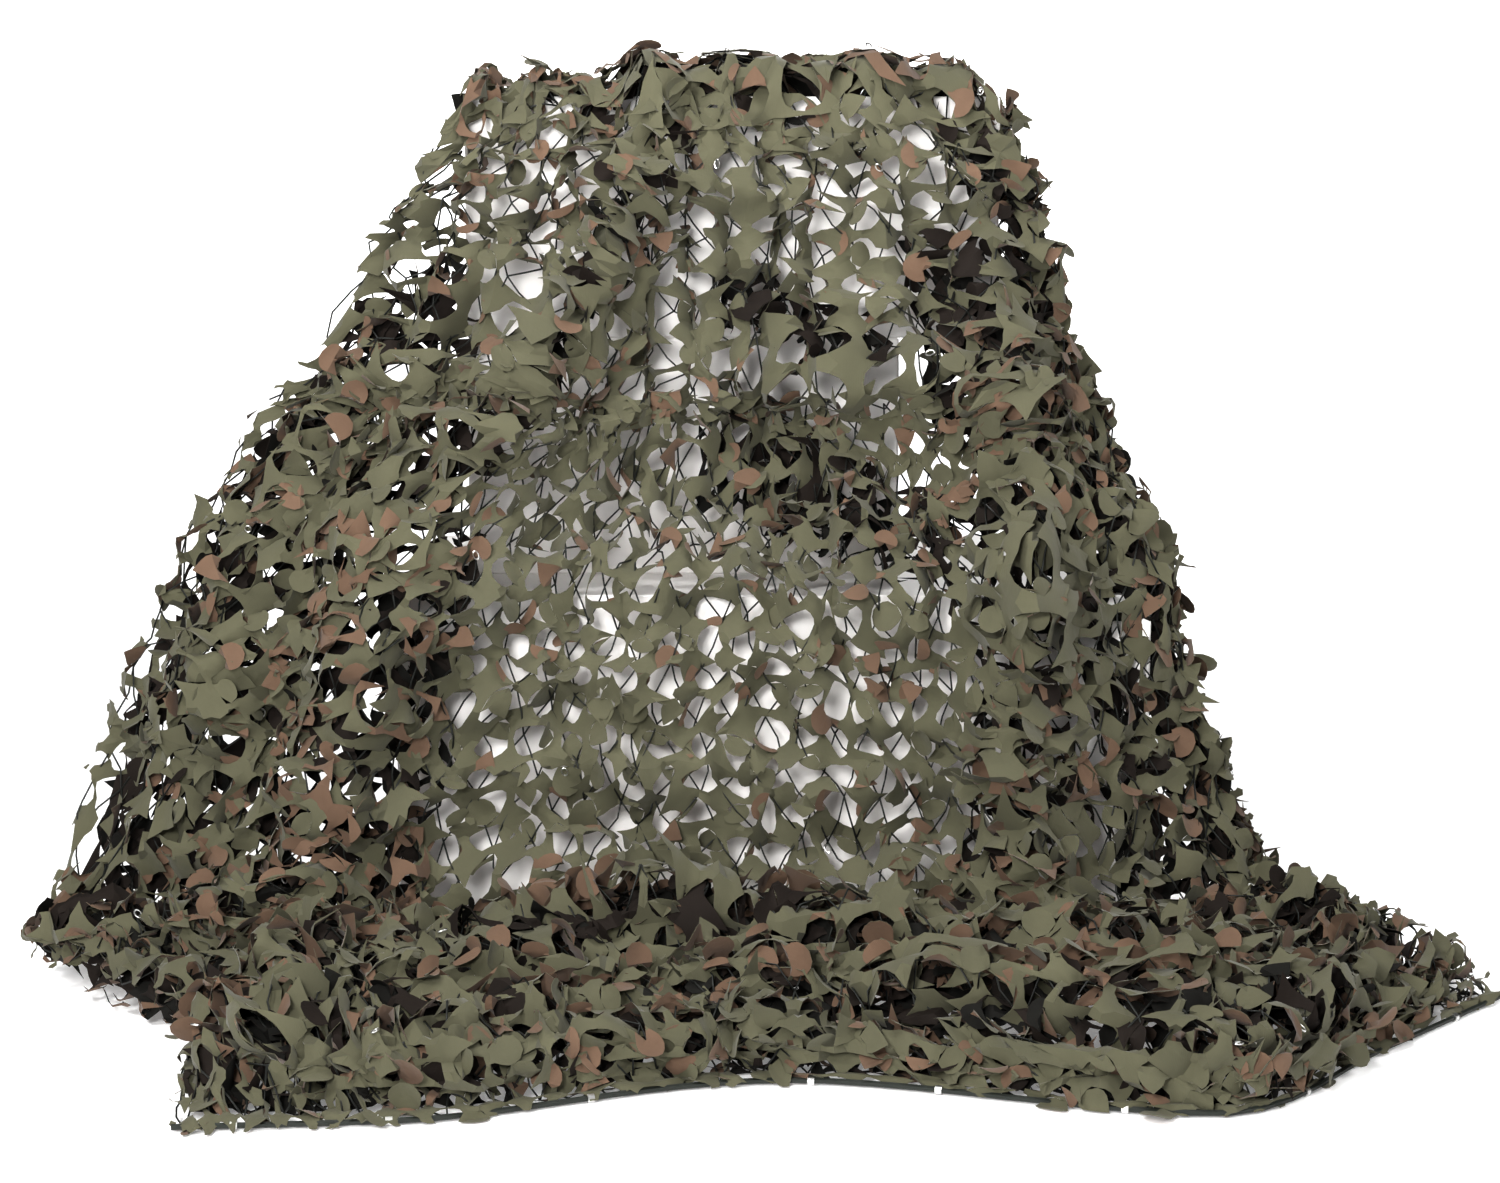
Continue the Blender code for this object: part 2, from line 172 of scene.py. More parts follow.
def softBox(name, place, aim, size, power):
    data = bpy.data.lights.new(name, "AREA")
    data.shape = "RECTANGLE"
    data.size, data.size_y = size
    data.energy = power
    light = addObject(name, data)
    light.location = place
    light.rotation_euler = (Vector(aim) - Vector(place)).to_track_quat("-Z", "Y").to_euler()


def glowingWhite(name, glow):
    return startMaterial(name, {"Base Color": hexToLinear(studio["paperColour"]), "Roughness": 0.9,
                                "Emission Color": (1.0, 1.0, 1.0, 1.0), "Emission Strength": glow})


def makeFloor():
    pick([])
    bpy.ops.mesh.primitive_plane_add(size=studio["floorSize"], location=(0.0, 0.0, -0.0006))
    floor = bpy.context.object
    floor.name = "studioFloor"
    table, tree, shader = glowingWhite("matt white floor with painted glow", studio["floorGlow"])
    # painted glow: the floor's own light grows with the distance from the object
    place = addNode(tree, "ShaderNodeTexCoord")
    away = addNode(tree, "ShaderNodeVectorMath", {"operation": "LENGTH"}, {0: place.outputs["Object"]})
    near, far = studio["glowGrows"]
    glow = addNode(tree, "ShaderNodeMapRange",
                   {"interpolation_type": "SMOOTHSTEP", "From Min": near, "From Max": far,
                    "To Min": studio["floorGlow"], "To Max": studio["farFloorGlow"]},
                   {"Value": away.outputs["Value"]})
    tree.links.new(glow.outputs["Result"], shader.inputs["Emission Strength"])
    floor.data.materials.append(table)


def makeBackdrop():
    pick([])
    bpy.ops.mesh.primitive_plane_add(size=studio["backdropSize"], location=studio["backdropPlace"],
                                     rotation=(math.radians(90.0), 0.0, 0.0))
    backdrop = bpy.context.object
    backdrop.name = "studioBackdrop"
    backdrop.data.materials.append(glowingWhite("matt white backdrop paper", studio["backdropGlow"])[0])
    backdrop.visible_diffuse = False  # it is seen, and lights nothing
    backdrop.visible_glossy = False


def makeWorld():
    world = bpy.data.worlds.new("studioWorld")
    world.use_nodes = True
    background = world.node_tree.nodes["Background"]
    background.inputs["Color"].default_value = hexToLinear(studio["worldColour"])
    background.inputs["Strength"].default_value = studio["worldStrength"]
    bpy.context.scene.world = world


makeCamera()
makeFloor()
makeBackdrop()
makeWorld()
for name, light in studio["softBoxes"].items():
    softBox(name, *light)
print("camera, floor and lights are in")

cloth = {
    "width": 2.52,          # metres, across
    "front": 2.96,          # cloth in front of the top's middle
    "back": 1.04,           # and behind it
    "thickness": 0.0006,
    "cell": 0.06,           # one cut to the next
    "hole": 0.0248,         # radius of a cut
    "clearance": 0.010,     # metres kept from the blocks' walls
    "lie": 0.002,           # and from their tops
    "lieRippled": 0.003,    # once it is rippled
    "offFloor": 0.004,
    "top": (-0.34, 0.44),   # fall between which the cloth lies over the top or bends down from it
    "turnsBack": 1.85,      # metres across, where it turns to the right side
}

blockBoxes = [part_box(name) for name in standBlocks]

# each row: fall down the cloth, height, then left xyz, wing xy, middle xy, right xy, turn xyz, edge xyz
drapeRows = (
    (-1.04, 0.64, -0.44, 0.785, 0.7, -0.3, 0.79, -0.1, 0.8,
     0.08, 0.79, 0.16, 0.785, 0.66, 0.22, 0.78, 0.72),
    (-0.66, 0.99, -0.455, 0.775, 0.98, -0.3, 0.78, -0.09, 0.79,
     0.12, 0.78, 0.2, 0.775, 0.98, 0.26, 0.775, 0.98),
    (-0.3, 1.37, -0.465, 0.765, 1.36, -0.29, 0.77, -0.04, 0.775,
     0.24, 0.77, 0.35, 0.765, 1.37, 0.43, 0.76, 1.36),
    (-0.22, 1.434, -0.465, 0.754, 1.434, -0.29, 0.754, -0.04, 0.754,
     0.24, 0.754, 0.35, 0.754, 1.434, 0.44, 0.752, 1.43),
    (-0.14, 1.414, -0.463, 0.69, 1.426, -0.29, 0.69, -0.03, 0.69,
     0.24, 0.69, 0.36, 0.69, 1.432, 0.44, 0.69, 1.435),
    (0.05, 1.406, -0.462, 0.48, 1.424, -0.29, 0.48, -0.03, 0.48,
     0.24, 0.48, 0.37, 0.5, 1.432, 0.445, 0.58, 1.432),
    (0.25, 1.44, -0.464, 0.3, 1.436, -0.29, 0.29, -0.03, 0.29,
     0.25, 0.29, 0.41, 0.29, 1.437, 0.45, 0.5, 1.428),
    (0.31, 1.436, -0.478, 0.226, 1.43, -0.29, 0.226, -0.03, 0.228,
     0.27, 0.226, 0.432, 0.258, 1.427, 0.458, 0.49, 1.4),
    (0.38, 1.372, -0.505, 0.215, 1.362, -0.3, 0.205, -0.03, 0.21,
     0.29, 0.205, 0.455, 0.225, 1.36, 0.468, 0.48, 1.34),
    (0.6, 1.2, -0.616, 0.26, 1.198, -0.32, 0.18, -0.02, 0.205,
     0.32, 0.185, 0.506, 0.27, 1.2, 0.508, 0.48, 1.18),
    (0.93, 0.92, -0.768, 0.19, 0.92, -0.4, 0.11, -0.02, 0.195,
     0.37, 0.12, 0.566, 0.21, 0.92, 0.585, 0.45, 0.9),
    (1.3, 0.655, -0.945, 0.11, 0.64, -0.54, -0.03, -0.02, -0.03,
     0.42, -0.04, 0.668, 0.05, 0.68, 0.69, 0.4, 0.68),
    (1.66, 0.34, -1.055, 0.06, 0.34, -0.63, -0.08, -0.02, -0.05,
     0.47, -0.07, 0.735, 0.03, 0.36, 0.785, 0.32, 0.37),
    (2.0, 0.085, -1.185, -0.07, 0.02, -0.69, -0.14, -0.02, -0.13,
     0.54, -0.15, 0.83, -0.01, 0.11, 0.92, 0.27, 0.13),
    (2.22, 0.06, -1.08, -0.18, 0.02, -0.66, -0.26, -0.01, -0.27,
     0.6, -0.32, 0.9, -0.09, 0.08, 1.0, 0.19, 0.08),
    (2.58, 0.055, -0.85, -0.46, 0.03, -0.58, -0.56, 0.02, -0.45,
     0.64, -0.6, 0.93, -0.28, 0.05, 1.1, 0.02, 0.03),
    (2.96, 0.006, -0.795, -0.83, 0.006, -0.48, -0.8, 0.06, -0.62,
     0.65, -0.77, 0.94, -0.47, 0.006, 1.185, -0.19, 0.006),
)
lineColumns = ((2, 3, 4), (5, 6, 1), (7, 8, 1), (9, 10, 1), (11, 12, 13), (14, 15, 16))
linePlaces = (0.0, 0.54, 1.20, 1.78, 2.16, 2.52)

# each placed fold: across and fall at one end, at the other, half width, rise
placedFolds = (
    (0.85, 0.22, 1.95, 0.22, 0.16, 0.048),
    (0.95, 1.14, 1.68, 1.12, 0.16, -0.06),
    (0.92, 0.4, 0.62, 0.78, 0.09, 0.055),
    (0.6, 0.8, 0.42, 1.25, 0.11, 0.065),
    (1.2, 0.8, 1.74, 0.92, 0.08, 0.05),
    (1.84, 0.86, 1.78, 1.35, 0.1, 0.09),
    (1.78, 1.35, 1.64, 2.05, 0.11, 0.08),
    (2.1, 1.0, 2.14, 1.85, 0.09, 0.035),
    (0.2, 0.95, 0.24, 1.75, 0.09, 0.06),
    (0.52, 1.3, 0.5, 1.98, 0.1, 0.07),
    (0.1, 1.55, 0.66, 1.38, 0.08, 0.045),
    (0.12, 2.02, 0.5, 2.1, 0.11, 0.07),
    (0.44, 2.44, 1.05, 2.32, 0.12, 0.07),
    (1.05, 2.26, 1.86, 2.36, 0.13, 0.085),
    (1.45, 2.64, 2.15, 2.62, 0.11, 0.06),
    (0.3, 2.8, 1.2, 2.78, 0.07, 0.04),
    (2.1, 2.05, 2.3, 2.45, 0.14, 0.06),
)
# soft pleats: pitch, depth, lean, start
pleats = ((0.42, 0.020, 0.22, 0.6), (0.27, 0.014, -0.35, 2.1))


def smoothThrough(stations, values, at):
    # a smooth curve through the stations that never overshoots them
    stations, values = np.asarray(stations, float), np.asarray(values, float)
    steps = np.diff(stations)
    slopes = np.diff(values) / steps
    tangents = np.empty_like(values)
    tangents[0], tangents[-1] = slopes[0], slopes[-1]
    product = slopes[:-1] * slopes[1:]
    total = np.where(product > 0, slopes[:-1] + slopes[1:], 1.0)
    tangents[1:-1] = np.where(product > 0, 2 * product / total, 0.0)
    index = np.clip(np.searchsorted(stations, at, side="right") - 1, 0, len(steps) - 1)
    step = steps[index]
    t = (at - stations[index]) / step
    return ((2 * t ** 3 - 3 * t ** 2 + 1) * values[index]
            + (t ** 3 - 2 * t ** 2 + t) * step * tangents[index]
            + (3 * t ** 2 - 2 * t ** 3) * values[index + 1]
            + (t ** 3 - t ** 2) * step * tangents[index + 1])


def baseSurface(across, fall):
    rows = np.array(drapeRows)
    points = np.empty((len(fall), len(across), 3))
    for axis in range(3):
        down = np.stack([smoothThrough(rows[:, 0], rows[:, columns[axis]], fall)
                         for columns in lineColumns], axis=1)
        for row, knots in enumerate(down):
            points[row, :, axis] = smoothThrough(linePlaces, knots, across)
    return points


def outward(points):
    return unit(np.cross(np.gradient(points, axis=0), np.gradient(points, axis=1)))


def foldRise(wide, deep):
    rise = np.zeros_like(wide)
    for acrossA, fallA, acrossB, fallB, halfWidth, height in placedFolds:
        length = math.hypot(acrossB - acrossA, fallB - fallA)
        runAcross, runDown = (acrossB - acrossA) / length, (fallB - fallA) / length
        along = (wide - acrossA) * runAcross + (deep - fallA) * runDown
        aside = (deep - fallA) * runAcross - (wide - acrossA) * runDown
        past = np.maximum(np.maximum(-along, along - length), 0.0)
        rise += height * np.exp(-(aside ** 2 + past ** 2) / (2 * (halfWidth / 1.5) ** 2))
    for pitch, depth, lean, start in pleats:
        phase = 2 * math.pi * (wide + lean * deep) / pitch + start
        rise += depth * (1 + np.sin(phase + 0.8 * np.sin(2.3 * deep))) / 2
    return rise


def clearOfStand(points, clearance, lie):
    # whatever would be in a block, or too near its walls, is moved straight out of it
    for low, high in blockBoxes:
        low, high = np.array(low) - clearance, np.array(high) + clearance
        high[2] += lie - clearance
        inside = np.all((points > low) & (points < high), axis=-1)
        walls = ((0, low[0]), (0, high[0]), (1, low[1]), (1, high[1]), (2, high[2]))
        nearest = np.argmin([np.abs(points[..., axis] - wall) for axis, wall in walls], axis=0)
        for side, (axis, wall) in enumerate(walls):
            points[..., axis] = np.where(inside & (nearest == side), wall, points[..., axis])
    return points


# the loose ripples
ripple = {
    "wave": 0.135,          # metres of cloth from one ripple to the next
    "rollWave": 1.25,       # times that, from one roll across the net to the next
    "share": 1.10,          # how much of the spare cloth they take up
    "most": 0.024,          # metres, half the height of the highest
    "floorMost": 0.034,     # and where the cloth is heaped on the floor
    "crest": 0.90,          # how far the cloth is let out along a crest
    "overTop": 0.06,        # how much of the height is left where it lies over the top
    "overTopRolls": 0.55,   # and of the rolls that run along the top's edge
    "lessAtRight": 0.50,    # share of the height that the turned-back side loses
    "drift": 0.024,         # metres, how far the cells stray along the cloth
    "driftPitches": (0.17, 0.075),
    "wander": (2.8, 1.5),   # radians, coarse and fine
    "wanderPitches": (0.34, 0.15),
    "rollPitches": (0.30, 0.14),
}


def softNoise(wide, deep, pitch, seed):
    # values from -1 to 1 on a square grid of the given pitch, with smooth steps between them
    table = np.random.default_rng(seed).uniform(-1, 1, (128, 128))
    x, y = wide / pitch + 500.0, deep / pitch + 500.0
    i, j = np.floor(x).astype(int), np.floor(y).astype(int)
    u, v = x - i, y - j
    u, v = u * u * (3 - 2 * u), v * v * (3 - 2 * v)
    a, b = table[i % 128, j % 128], table[(i + 1) % 128, j % 128]
    c, d = table[i % 128, (j + 1) % 128], table[(i + 1) % 128, (j + 1) % 128]
    return (a * (1 - u) + b * u) * (1 - v) + (c * (1 - u) + d * u) * v


def softened(values, reach):
    # running mean both ways
    for axis in (0, 1):
        padded = np.concatenate([np.repeat(np.take(values, [0], axis), reach, axis), values,
                                 np.repeat(np.take(values, [-1], axis), reach, axis)], axis)
        total = np.cumsum(padded, axis)
        total = np.concatenate([np.take(total, [0], axis) * 0, total], axis)
        size, count = 2 * reach + 1, values.shape[axis]
        values = np.take(total, range(size, size + count), axis) - np.take(total, range(count), axis)
        values = values / size
    return values


fineStep = 0.01  # metres, of the grid on which the hanging net is worked out
fineAcross = np.arange(0, round(cloth["width"] / fineStep) + 1) * fineStep
fineFall = np.arange(0, round((cloth["front"] + cloth["back"]) / fineStep) + 1) * fineStep - cloth["back"]


def wander(wide, deep, pitches, seed):
    # radians by which the ripples leave their straight lines
    (coarsePitch, finePitch), (coarse, fine) = pitches, ripple["wander"]
    return (coarse * softNoise(wide, deep, coarsePitch, seed)
            + fine * softNoise(wide, deep, finePitch, seed + 1))


def hangNet(seed, wide, deep):
    points = baseSurface(fineAcross, fineFall)
    atHem = ramp((cloth["front"] - deep) / 0.25)
    points = points + outward(points) * (foldRise(wide, deep) * atHem)[..., None]
    points = clearOfStand(points + frameShift, cloth["clearance"], cloth["lie"])
    # spare cloth both ways, from how much narrower it hangs than it was cut
    acrossShare = softened(np.linalg.norm(np.gradient(points, fineStep, axis=1), axis=2), 6)
    fallShare = softened(np.linalg.norm(np.gradient(points, fineStep, axis=0), axis=2), 6)
    normal = unit(softened(outward(points), 3))
    wave, rollWave = ripple["wave"], ripple["wave"] * ripple["rollWave"]
    acrossPhase = 2 * math.pi * wide / wave + wander(wide, deep, ripple["wanderPitches"], seed)
    fallPhase = 2 * math.pi * deep / rollWave + wander(wide, deep, ripple["rollPitches"], seed + 2)
    for axis, phase, share, pitch, left in ((1, acrossPhase, acrossShare, wave, ripple["overTop"]),
                                            (0, fallPhase, fallShare, rollWave, ripple["overTopRolls"])):
        along = unit(np.gradient(points, axis=axis))
        points = rippled(points, normal, along, phase, share, pitch, rippleFade(wide, deep, left))
    points = clearOfStand(points, cloth["clearance"] * 0.5, cloth["lieRippled"])
    points[..., 2] = np.maximum(points[..., 2], cloth["offFloor"])
    return {"points": points, "smoothNormals": unit(softened(normal, 5)), "normals": outward(points),
            "across": np.gradient(points, fineStep, axis=1), "fall": np.gradient(points, fineStep, axis=0)}


def onTop(deep):
    # 1 where the cloth lies over the top, 0 down the front and the back
    back, front = cloth["top"]
    return ramp(np.minimum((deep - back) / 0.06, (front - deep) / 0.10))


def turnedBack(across):
    # 0 in front, 1 on the side that turns back at the right
    return ramp((across - cloth["turnsBack"]) / 0.30)


def rippleFade(wide, deep, left):
    # the ripples' height: less at the hem, over the top, down the back and at the right, more on the floor
    fade = np.clip((cloth["front"] + 0.01 - deep) / 0.18, 0.05, 1.0) * np.where(deep < -0.25, 0.55, 1.0)
    fade = fade * (1 - ripple["lessAtRight"] * turnedBack(wide))
    onFloor = ramp((deep - 2.0) / 0.15) * (ripple["floorMost"] / ripple["most"] - 1)
    return fade * (1 - (1 - left) * onTop(deep)) * (1 + onFloor)


def unit(vectors):
    return vectors / np.maximum(np.linalg.norm(vectors, axis=-1, keepdims=True), 1e-9)


def rippled(points, normal, along, phase, share, wave, fade):
    # a ripple keeps the cloth's length: the crests spread out and the troughs close up
    share = np.clip(share, 0.2, 1.0)
    high = ripple["share"] * wave * np.sqrt(1 - share ** 2) / (2 * math.pi)
    high = np.minimum(high, ripple["most"]) * fade
    slide = np.clip(ripple["crest"] - share, 0.0, None) * wave / (2 * math.pi) * fade
    return (points + normal * (high * (1 + np.cos(phase)))[..., None]
            + along * (slide * np.sin(phase))[..., None])


sheetAcross, sheetFall = np.meshgrid(fineAcross, fineFall)
hung = {seed: hangNet(seed, sheetAcross, sheetFall) for seed in (3, 11, 19)}


def readOff(field, across, fall):
    # the field between its grid points, and carried on straight past its edges
    x, y = across / fineStep, (fall + cloth["back"]) / fineStep
    i = np.clip(np.floor(x).astype(int), 0, len(fineAcross) - 2)
    j = np.clip(np.floor(y).astype(int), 0, len(fineFall) - 2)
    u, v = (x - i)[:, None], (y - j)[:, None]
    return ((field[j, i] * (1 - u) + field[j, i + 1] * u) * (1 - v)
            + (field[j + 1, i] * (1 - u) + field[j + 1, i + 1] * u) * v)


print("the net hangs on the stand")

finishColours = {
    "olive": "#5D5B48",
    "oliveDeep": "#484738",
    "brown": "#6C5747",
    "brownDeep": "#554437",
    "paintedShadeOlive": "#181713",      # in the folds the black mesh lies over the cloth and darkens it, and the colour is made near black as painted shade of the deep folds
    "paintedShadeOliveDeep": "#100F0C",
    "paintedShadeBrown": "#221A15",
    "paintedShadeBrownDeep": "#17120E",
    "thread": "#10120F",
    "cord": "#1B211A",
    "wornThread": "#1C1F1A",
    "zinc": "#D8D8D6",
    "stand": "#F7F5F3",
    "standShade": "#EEEBE8",
}


def mottle(tree, shader, place, noise, light, deep):
    # the colour wanders between two shades, as dye and paint do
    tone = addNode(tree, "ShaderNodeTexNoise", noise, {"Vector": place})
    mix = addNode(tree, "ShaderNodeMix", {"data_type": "RGBA", 6: hexToLinear(light), 7: hexToLinear(deep)},
                  {0: tone.outputs["Fac"]})
    tree.links.new(mix.outputs[2], shader.inputs["Base Color"])


def clothMaterial(name, light, deep, sheen):
    # woven polyester, dyed and heat-cut: a dull, even face with a faint weave and handling creases
    material, tree, shader = startMaterial(name, {"Roughness": 0.85, "Specular IOR Level": 0.25,
                                                  "Sheen Weight": sheen, "Sheen Roughness": 0.5})
    place = addNode(tree, "ShaderNodeUVMap", {"uv_map": "sheetPlace"}).outputs["UV"]
    mottle(tree, shader, place, {"Scale": 9.0, "Detail": 3.0, "Roughness": 0.6}, light, deep)
    # the weave's bands are 2.4 mm apart, eight times the real 0.3 mm, so that they show
    weave = addNode(tree, "ShaderNodeTexWave", {"Scale": 130.0, "Distortion": 0.4}, {"Vector": place})
    crease = addNode(tree, "ShaderNodeTexNoise", {"Scale": 55.0, "Detail": 2.0}, {"Vector": place})
    creased = addNode(tree, "ShaderNodeBump", {"Strength": 0.35, "Distance": 0.004},
                      {"Height": crease.outputs["Fac"]})
    woven = addNode(tree, "ShaderNodeBump", {"Strength": 0.15, "Distance": 0.0003},
                    {"Height": weave.outputs["Fac"], "Normal": creased.outputs["Normal"]})
    tree.links.new(woven.outputs["Normal"], shader.inputs["Normal"])
    return material


def standMaterial():
    # board sprayed with matt white paint, with the faint orange peel of a spray gun
    material, tree, shader = startMaterial("matt white sprayed board", {"Roughness": 0.6})
    place = addNode(tree, "ShaderNodeTexCoord").outputs["Object"]
    mottle(tree, shader, place, {"Scale": 2.5, "Detail": 2.0}, finishColours["stand"],
           finishColours["standShade"])
    peel = addNode(tree, "ShaderNodeTexNoise", {"Scale": 260.0, "Detail": 2.0}, {"Vector": place})
    bump = addNode(tree, "ShaderNodeBump", {"Strength": 0.1, "Distance": 0.0005},
                   {"Height": peel.outputs["Fac"]})
    tree.links.new(bump.outputs["Normal"], shader.inputs["Normal"])
    return material


def threadMaterial(name, colour):
    # twisted nylon, dyed dark and worn a little paler in places
    material, tree, shader = startMaterial(name, {"Roughness": 0.6})
    place = addNode(tree, "ShaderNodeTexCoord").outputs["Object"]
    mottle(tree, shader, place, {"Scale": 60.0}, colour, finishColours["wornThread"])
    return material


def clipMaterial():
    # drawn wire, plated and dulled unevenly by handling
    material, tree, shader = startMaterial("bright zinc-plated wire", {
        "Base Color": hexToLinear(finishColours["zinc"]), "Metallic": 1.0})
    place = addNode(tree, "ShaderNodeTexCoord")
    dull = addNode(tree, "ShaderNodeTexNoise", {"Scale": 400.0}, {"Vector": place.outputs["Object"]})
    spread = addNode(tree, "ShaderNodeMapRange", {"To Min": 0.25, "To Max": 0.45},
                     {"Value": dull.outputs["Fac"]})
    tree.links.new(spread.outputs["Result"], shader.inputs["Roughness"])
    return material


def dyedCloth(name, colour, sheen):
    return clothMaterial(name, finishColours[colour], finishColours[colour + "Deep"], sheen)


oliveFace = dyedCloth("olive dyed woven polyester", "olive", 0.12)
brownBack = dyedCloth("brown dyed woven polyester", "brown", 0.12)
# painted shade: the cloth deep in the folds gets near-black colours, partly for the black mesh over it and
# partly for the shade that falls there
oliveInPaintedShade = dyedCloth("olive dyed woven polyester under black mesh", "paintedShadeOlive", 0.0)
brownInPaintedShade = dyedCloth("brown dyed woven polyester under black mesh", "paintedShadeBrown", 0.0)
netThread = threadMaterial("black twisted nylon thread", finishColours["thread"])
hemCord = threadMaterial("dark green braided nylon cord", finishColours["cord"])
zincWire = clipMaterial()
paintedBoard = standMaterial()

# the leaf-cut cloth
leafCut = {
    "ringSteps": 16,        # round each cut
    "sizes": (0.91, 1.09),  # times its radius
    "offCentre": 0.0022,    # metres
    "oval": 0.075,          # share of its radius
    "broken": 0.36,         # share of the necks between leaves that are cut through
    "seed": 5,
    # how each leaf lies by itself, by lot
    "tilt": 0.27,           # in the open places
    "heapedTilt": 0.44,     # and where the net is heaped
    "lift": 0.0022,         # metres
    "slip": 0.0032,
    "turn": 0.24,
    "bend": 5.0,
    "twist": 6.0,
    "clearance": 0.003,     # metres kept from the blocks' walls
    "lie": 0.002,           # and from their tops
    "offFloor": 0.0035,
    "near": 0.14,           # share of a cell over which a neck passes from leaf to leaf
    # metres, for the free tip of an arm that is cut through: past the middle of the gap, by lot
    # more or less, to the side and out of the cloth
    "tipPast": 0.003,
    "tipReach": 0.010,
    "tipAside": 0.007,
    "tipLift": 0.009,
    "overhang": 0.034,      # metres of ragged leaf past the hem cord
    "hemLift": 0.013,       # the hem lies over its cord
    "hemHeight": 0.0175,    # and no higher than this there
    "sidePast": 0.020,      # metres of leaf past the side cords
    # shares of the cells made, where the net is turned brown side out
    "turnedShare": {"crownTurned": 0.60, "frontTurned": 0.28},
    "crownHeight": 1.488,   # metres; leaves that stand above it are pressed down
    "crownPress": 0.40,
    "leftEnd": -1.14,       # metres; and what lies further left is drawn in
    "leftPress": 0.5,
    "room": 0.022,          # share of the CAD box that leaves may stand past it, on each side
    "sinkOnTop": 0.022,     # what lies over the top sinks into its folds
    "sinkInFront": 0.014,   # what hangs flat in front lies closer to the stand
    "sinkAtRight": 0.050,   # and the turned-back side hangs in
    # degrees by which tongues stand open
    "shutBy": (-14, 22),
    "ajarBy": (22, 58),
    "foldedBackBy": (-174, -140),
    "foldedOverBy": (152, 174),
    # shares of the tongues, where heaped, flat in front and above: those nearly shut, those up to
    # half open with them, and with those folded back too; the rest fold over to the front
    "shut": (0.15, 0.34, 0.16),
    "ajar": (0.42, 0.50, 0.30),
    "foldedBack": (0.87, 0.85, 0.85),
    "foldedBackBelow": 0.60,  # of those that hang by their lower end
    "bendAtRing": 0.62,     # share of its angle that a tongue has at the ring
    "bendOver": 0.35,       # radii over which a full angle would be added, until it has it all
    "curl": 800,            # degrees to a metre
    "cup": (-0.005, 0.006),  # metres
    "skew": 24,             # degrees
    # which tongue a cut has: disc, short, half, leaf, moon
    "openShares": (0.14, 0.26, 0.34, 0.14, 0.12),
    "heapedShares": (0.34, 0.22, 0.1, 0.2, 0.14),
}
# each tongue: steps of the ring that it hangs by, on each side, rows of place, half width
# and lean in radii, then its tip
tongues = {
    "disc": (2, ((0.5, 0.9, 0.0), (0.86, 0.98, 0.0), (1.25, 0.94, 0.03), (1.6, 0.7, 0.06)),
              (1.88, 0.3, 0.1)),
    "short": (2, ((0.48, 0.9, 0.0), (0.76, 0.94, 0.02), (1.02, 0.84, 0.05), (1.22, 0.58, 0.08)),
              (1.36, 0.22, 0.12)),
    "half": (2, ((0.46, 0.88, 0.0), (0.62, 0.9, 0.02), (0.78, 0.78, 0.04), (0.9, 0.54, 0.06)),
              (0.98, 0.2, 0.08)),
    "leaf": (2, ((0.55, 0.9, 0.0), (0.9, 0.84, 0.06), (1.25, 0.62, 0.15), (1.6, 0.34, 0.26)),
              (1.95, 0.03, 0.4)),
    "moon": (3, ((0.8, 0.94, 0.0), (1.0, 0.82, 0.05), (1.2, 0.62, 0.12), (1.38, 0.36, 0.2)),
              (1.52, 0.05, 0.3)),
}
# each hinge, in steps of the ring from the right, downwards, with its share
hinges = {12: 0.12, 11: 0.08, 13: 0.08, 0: 0.10, 8: 0.10, 15: 0.08, 9: 0.08, 4: 0.06, 3: 0.04, 5: 0.04,
          14: 0.07, 10: 0.07, 2: 0.04, 6: 0.04}
# where the net lies folded on itself, as capsules on the sheet: across and fall at both ends, half width
doubled = (
    (0.0, 0.22, 2.52, 0.22, 0.13),
    (2.08, 0.44, 2.08, 0.8, 0.2),
    (1.8, 0.72, 1.79, 1.22, 0.13),
    (0.6, 1.28, 0.62, 2.0, 0.09),
    (0.12, 1.05, 0.12, 2.0, 0.12),
    (0.92, 0.36, 0.62, 0.8, 0.07),
    (0.62, 0.8, 0.42, 1.3, 0.1),
    (0.2, 0.8, 0.3, 1.4, 0.16),
    (0.3, 1.4, 0.36, 2.0, 0.24),
    (2.0, 0.86, 1.98, 1.2, 0.22),
    (2.3, 0.6, 2.32, 2.08, 0.22),
    (2.04, 1.3, 1.98, 2.06, 0.12),
    (1.8, 1.25, 1.64, 2.05, 0.1),
    (1.2, 0.74, 1.56, 0.82, 0.06),
    (1.2, 1.04, 1.6, 1.18, 0.09),
    (0.2, 2.25, 2.3, 2.3, 0.24),
    (0.2, 2.62, 2.3, 2.6, 0.28),
    (0.15, 2.84, 2.4, 2.84, 0.14),
)
# where it hangs flat in front of the lowest block
openFront = (
    (0.3, 0.62, 1.6, 0.62, 0.26),
    (0.8, 1.2, 1.5, 1.26, 0.2),
    (0.8, 1.55, 1.5, 1.6, 0.28),
)
# and where a fold of it lies on top as well
heaped = (
    (0.92, 0.36, 0.62, 0.8, 0.06),
    (0.62, 0.8, 0.45, 1.3, 0.08),
    (0.3, 0.95, 0.36, 1.9, 0.12),
    (1.9, 0.85, 1.84, 1.3, 0.09),
    (1.8, 1.3, 1.64, 2.0, 0.07),
    (2.34, 1.2, 2.34, 1.9, 0.08),
    (0.3, 2.2, 1.95, 2.24, 0.09),
    (0.35, 2.58, 2.1, 2.52, 0.09),
    (0.25, 2.86, 2.3, 2.84, 0.07),
)
# and where it is turned brown side out
turned = (
    (0.05, 0.22, 0.9, 0.22, 0.12),
    (1.5, 0.24, 1.9, 0.24, 0.07),
    (0.44, 1.1, 0.54, 1.95, 0.17),
    (1.8, 0.95, 1.68, 1.8, 0.13),
)
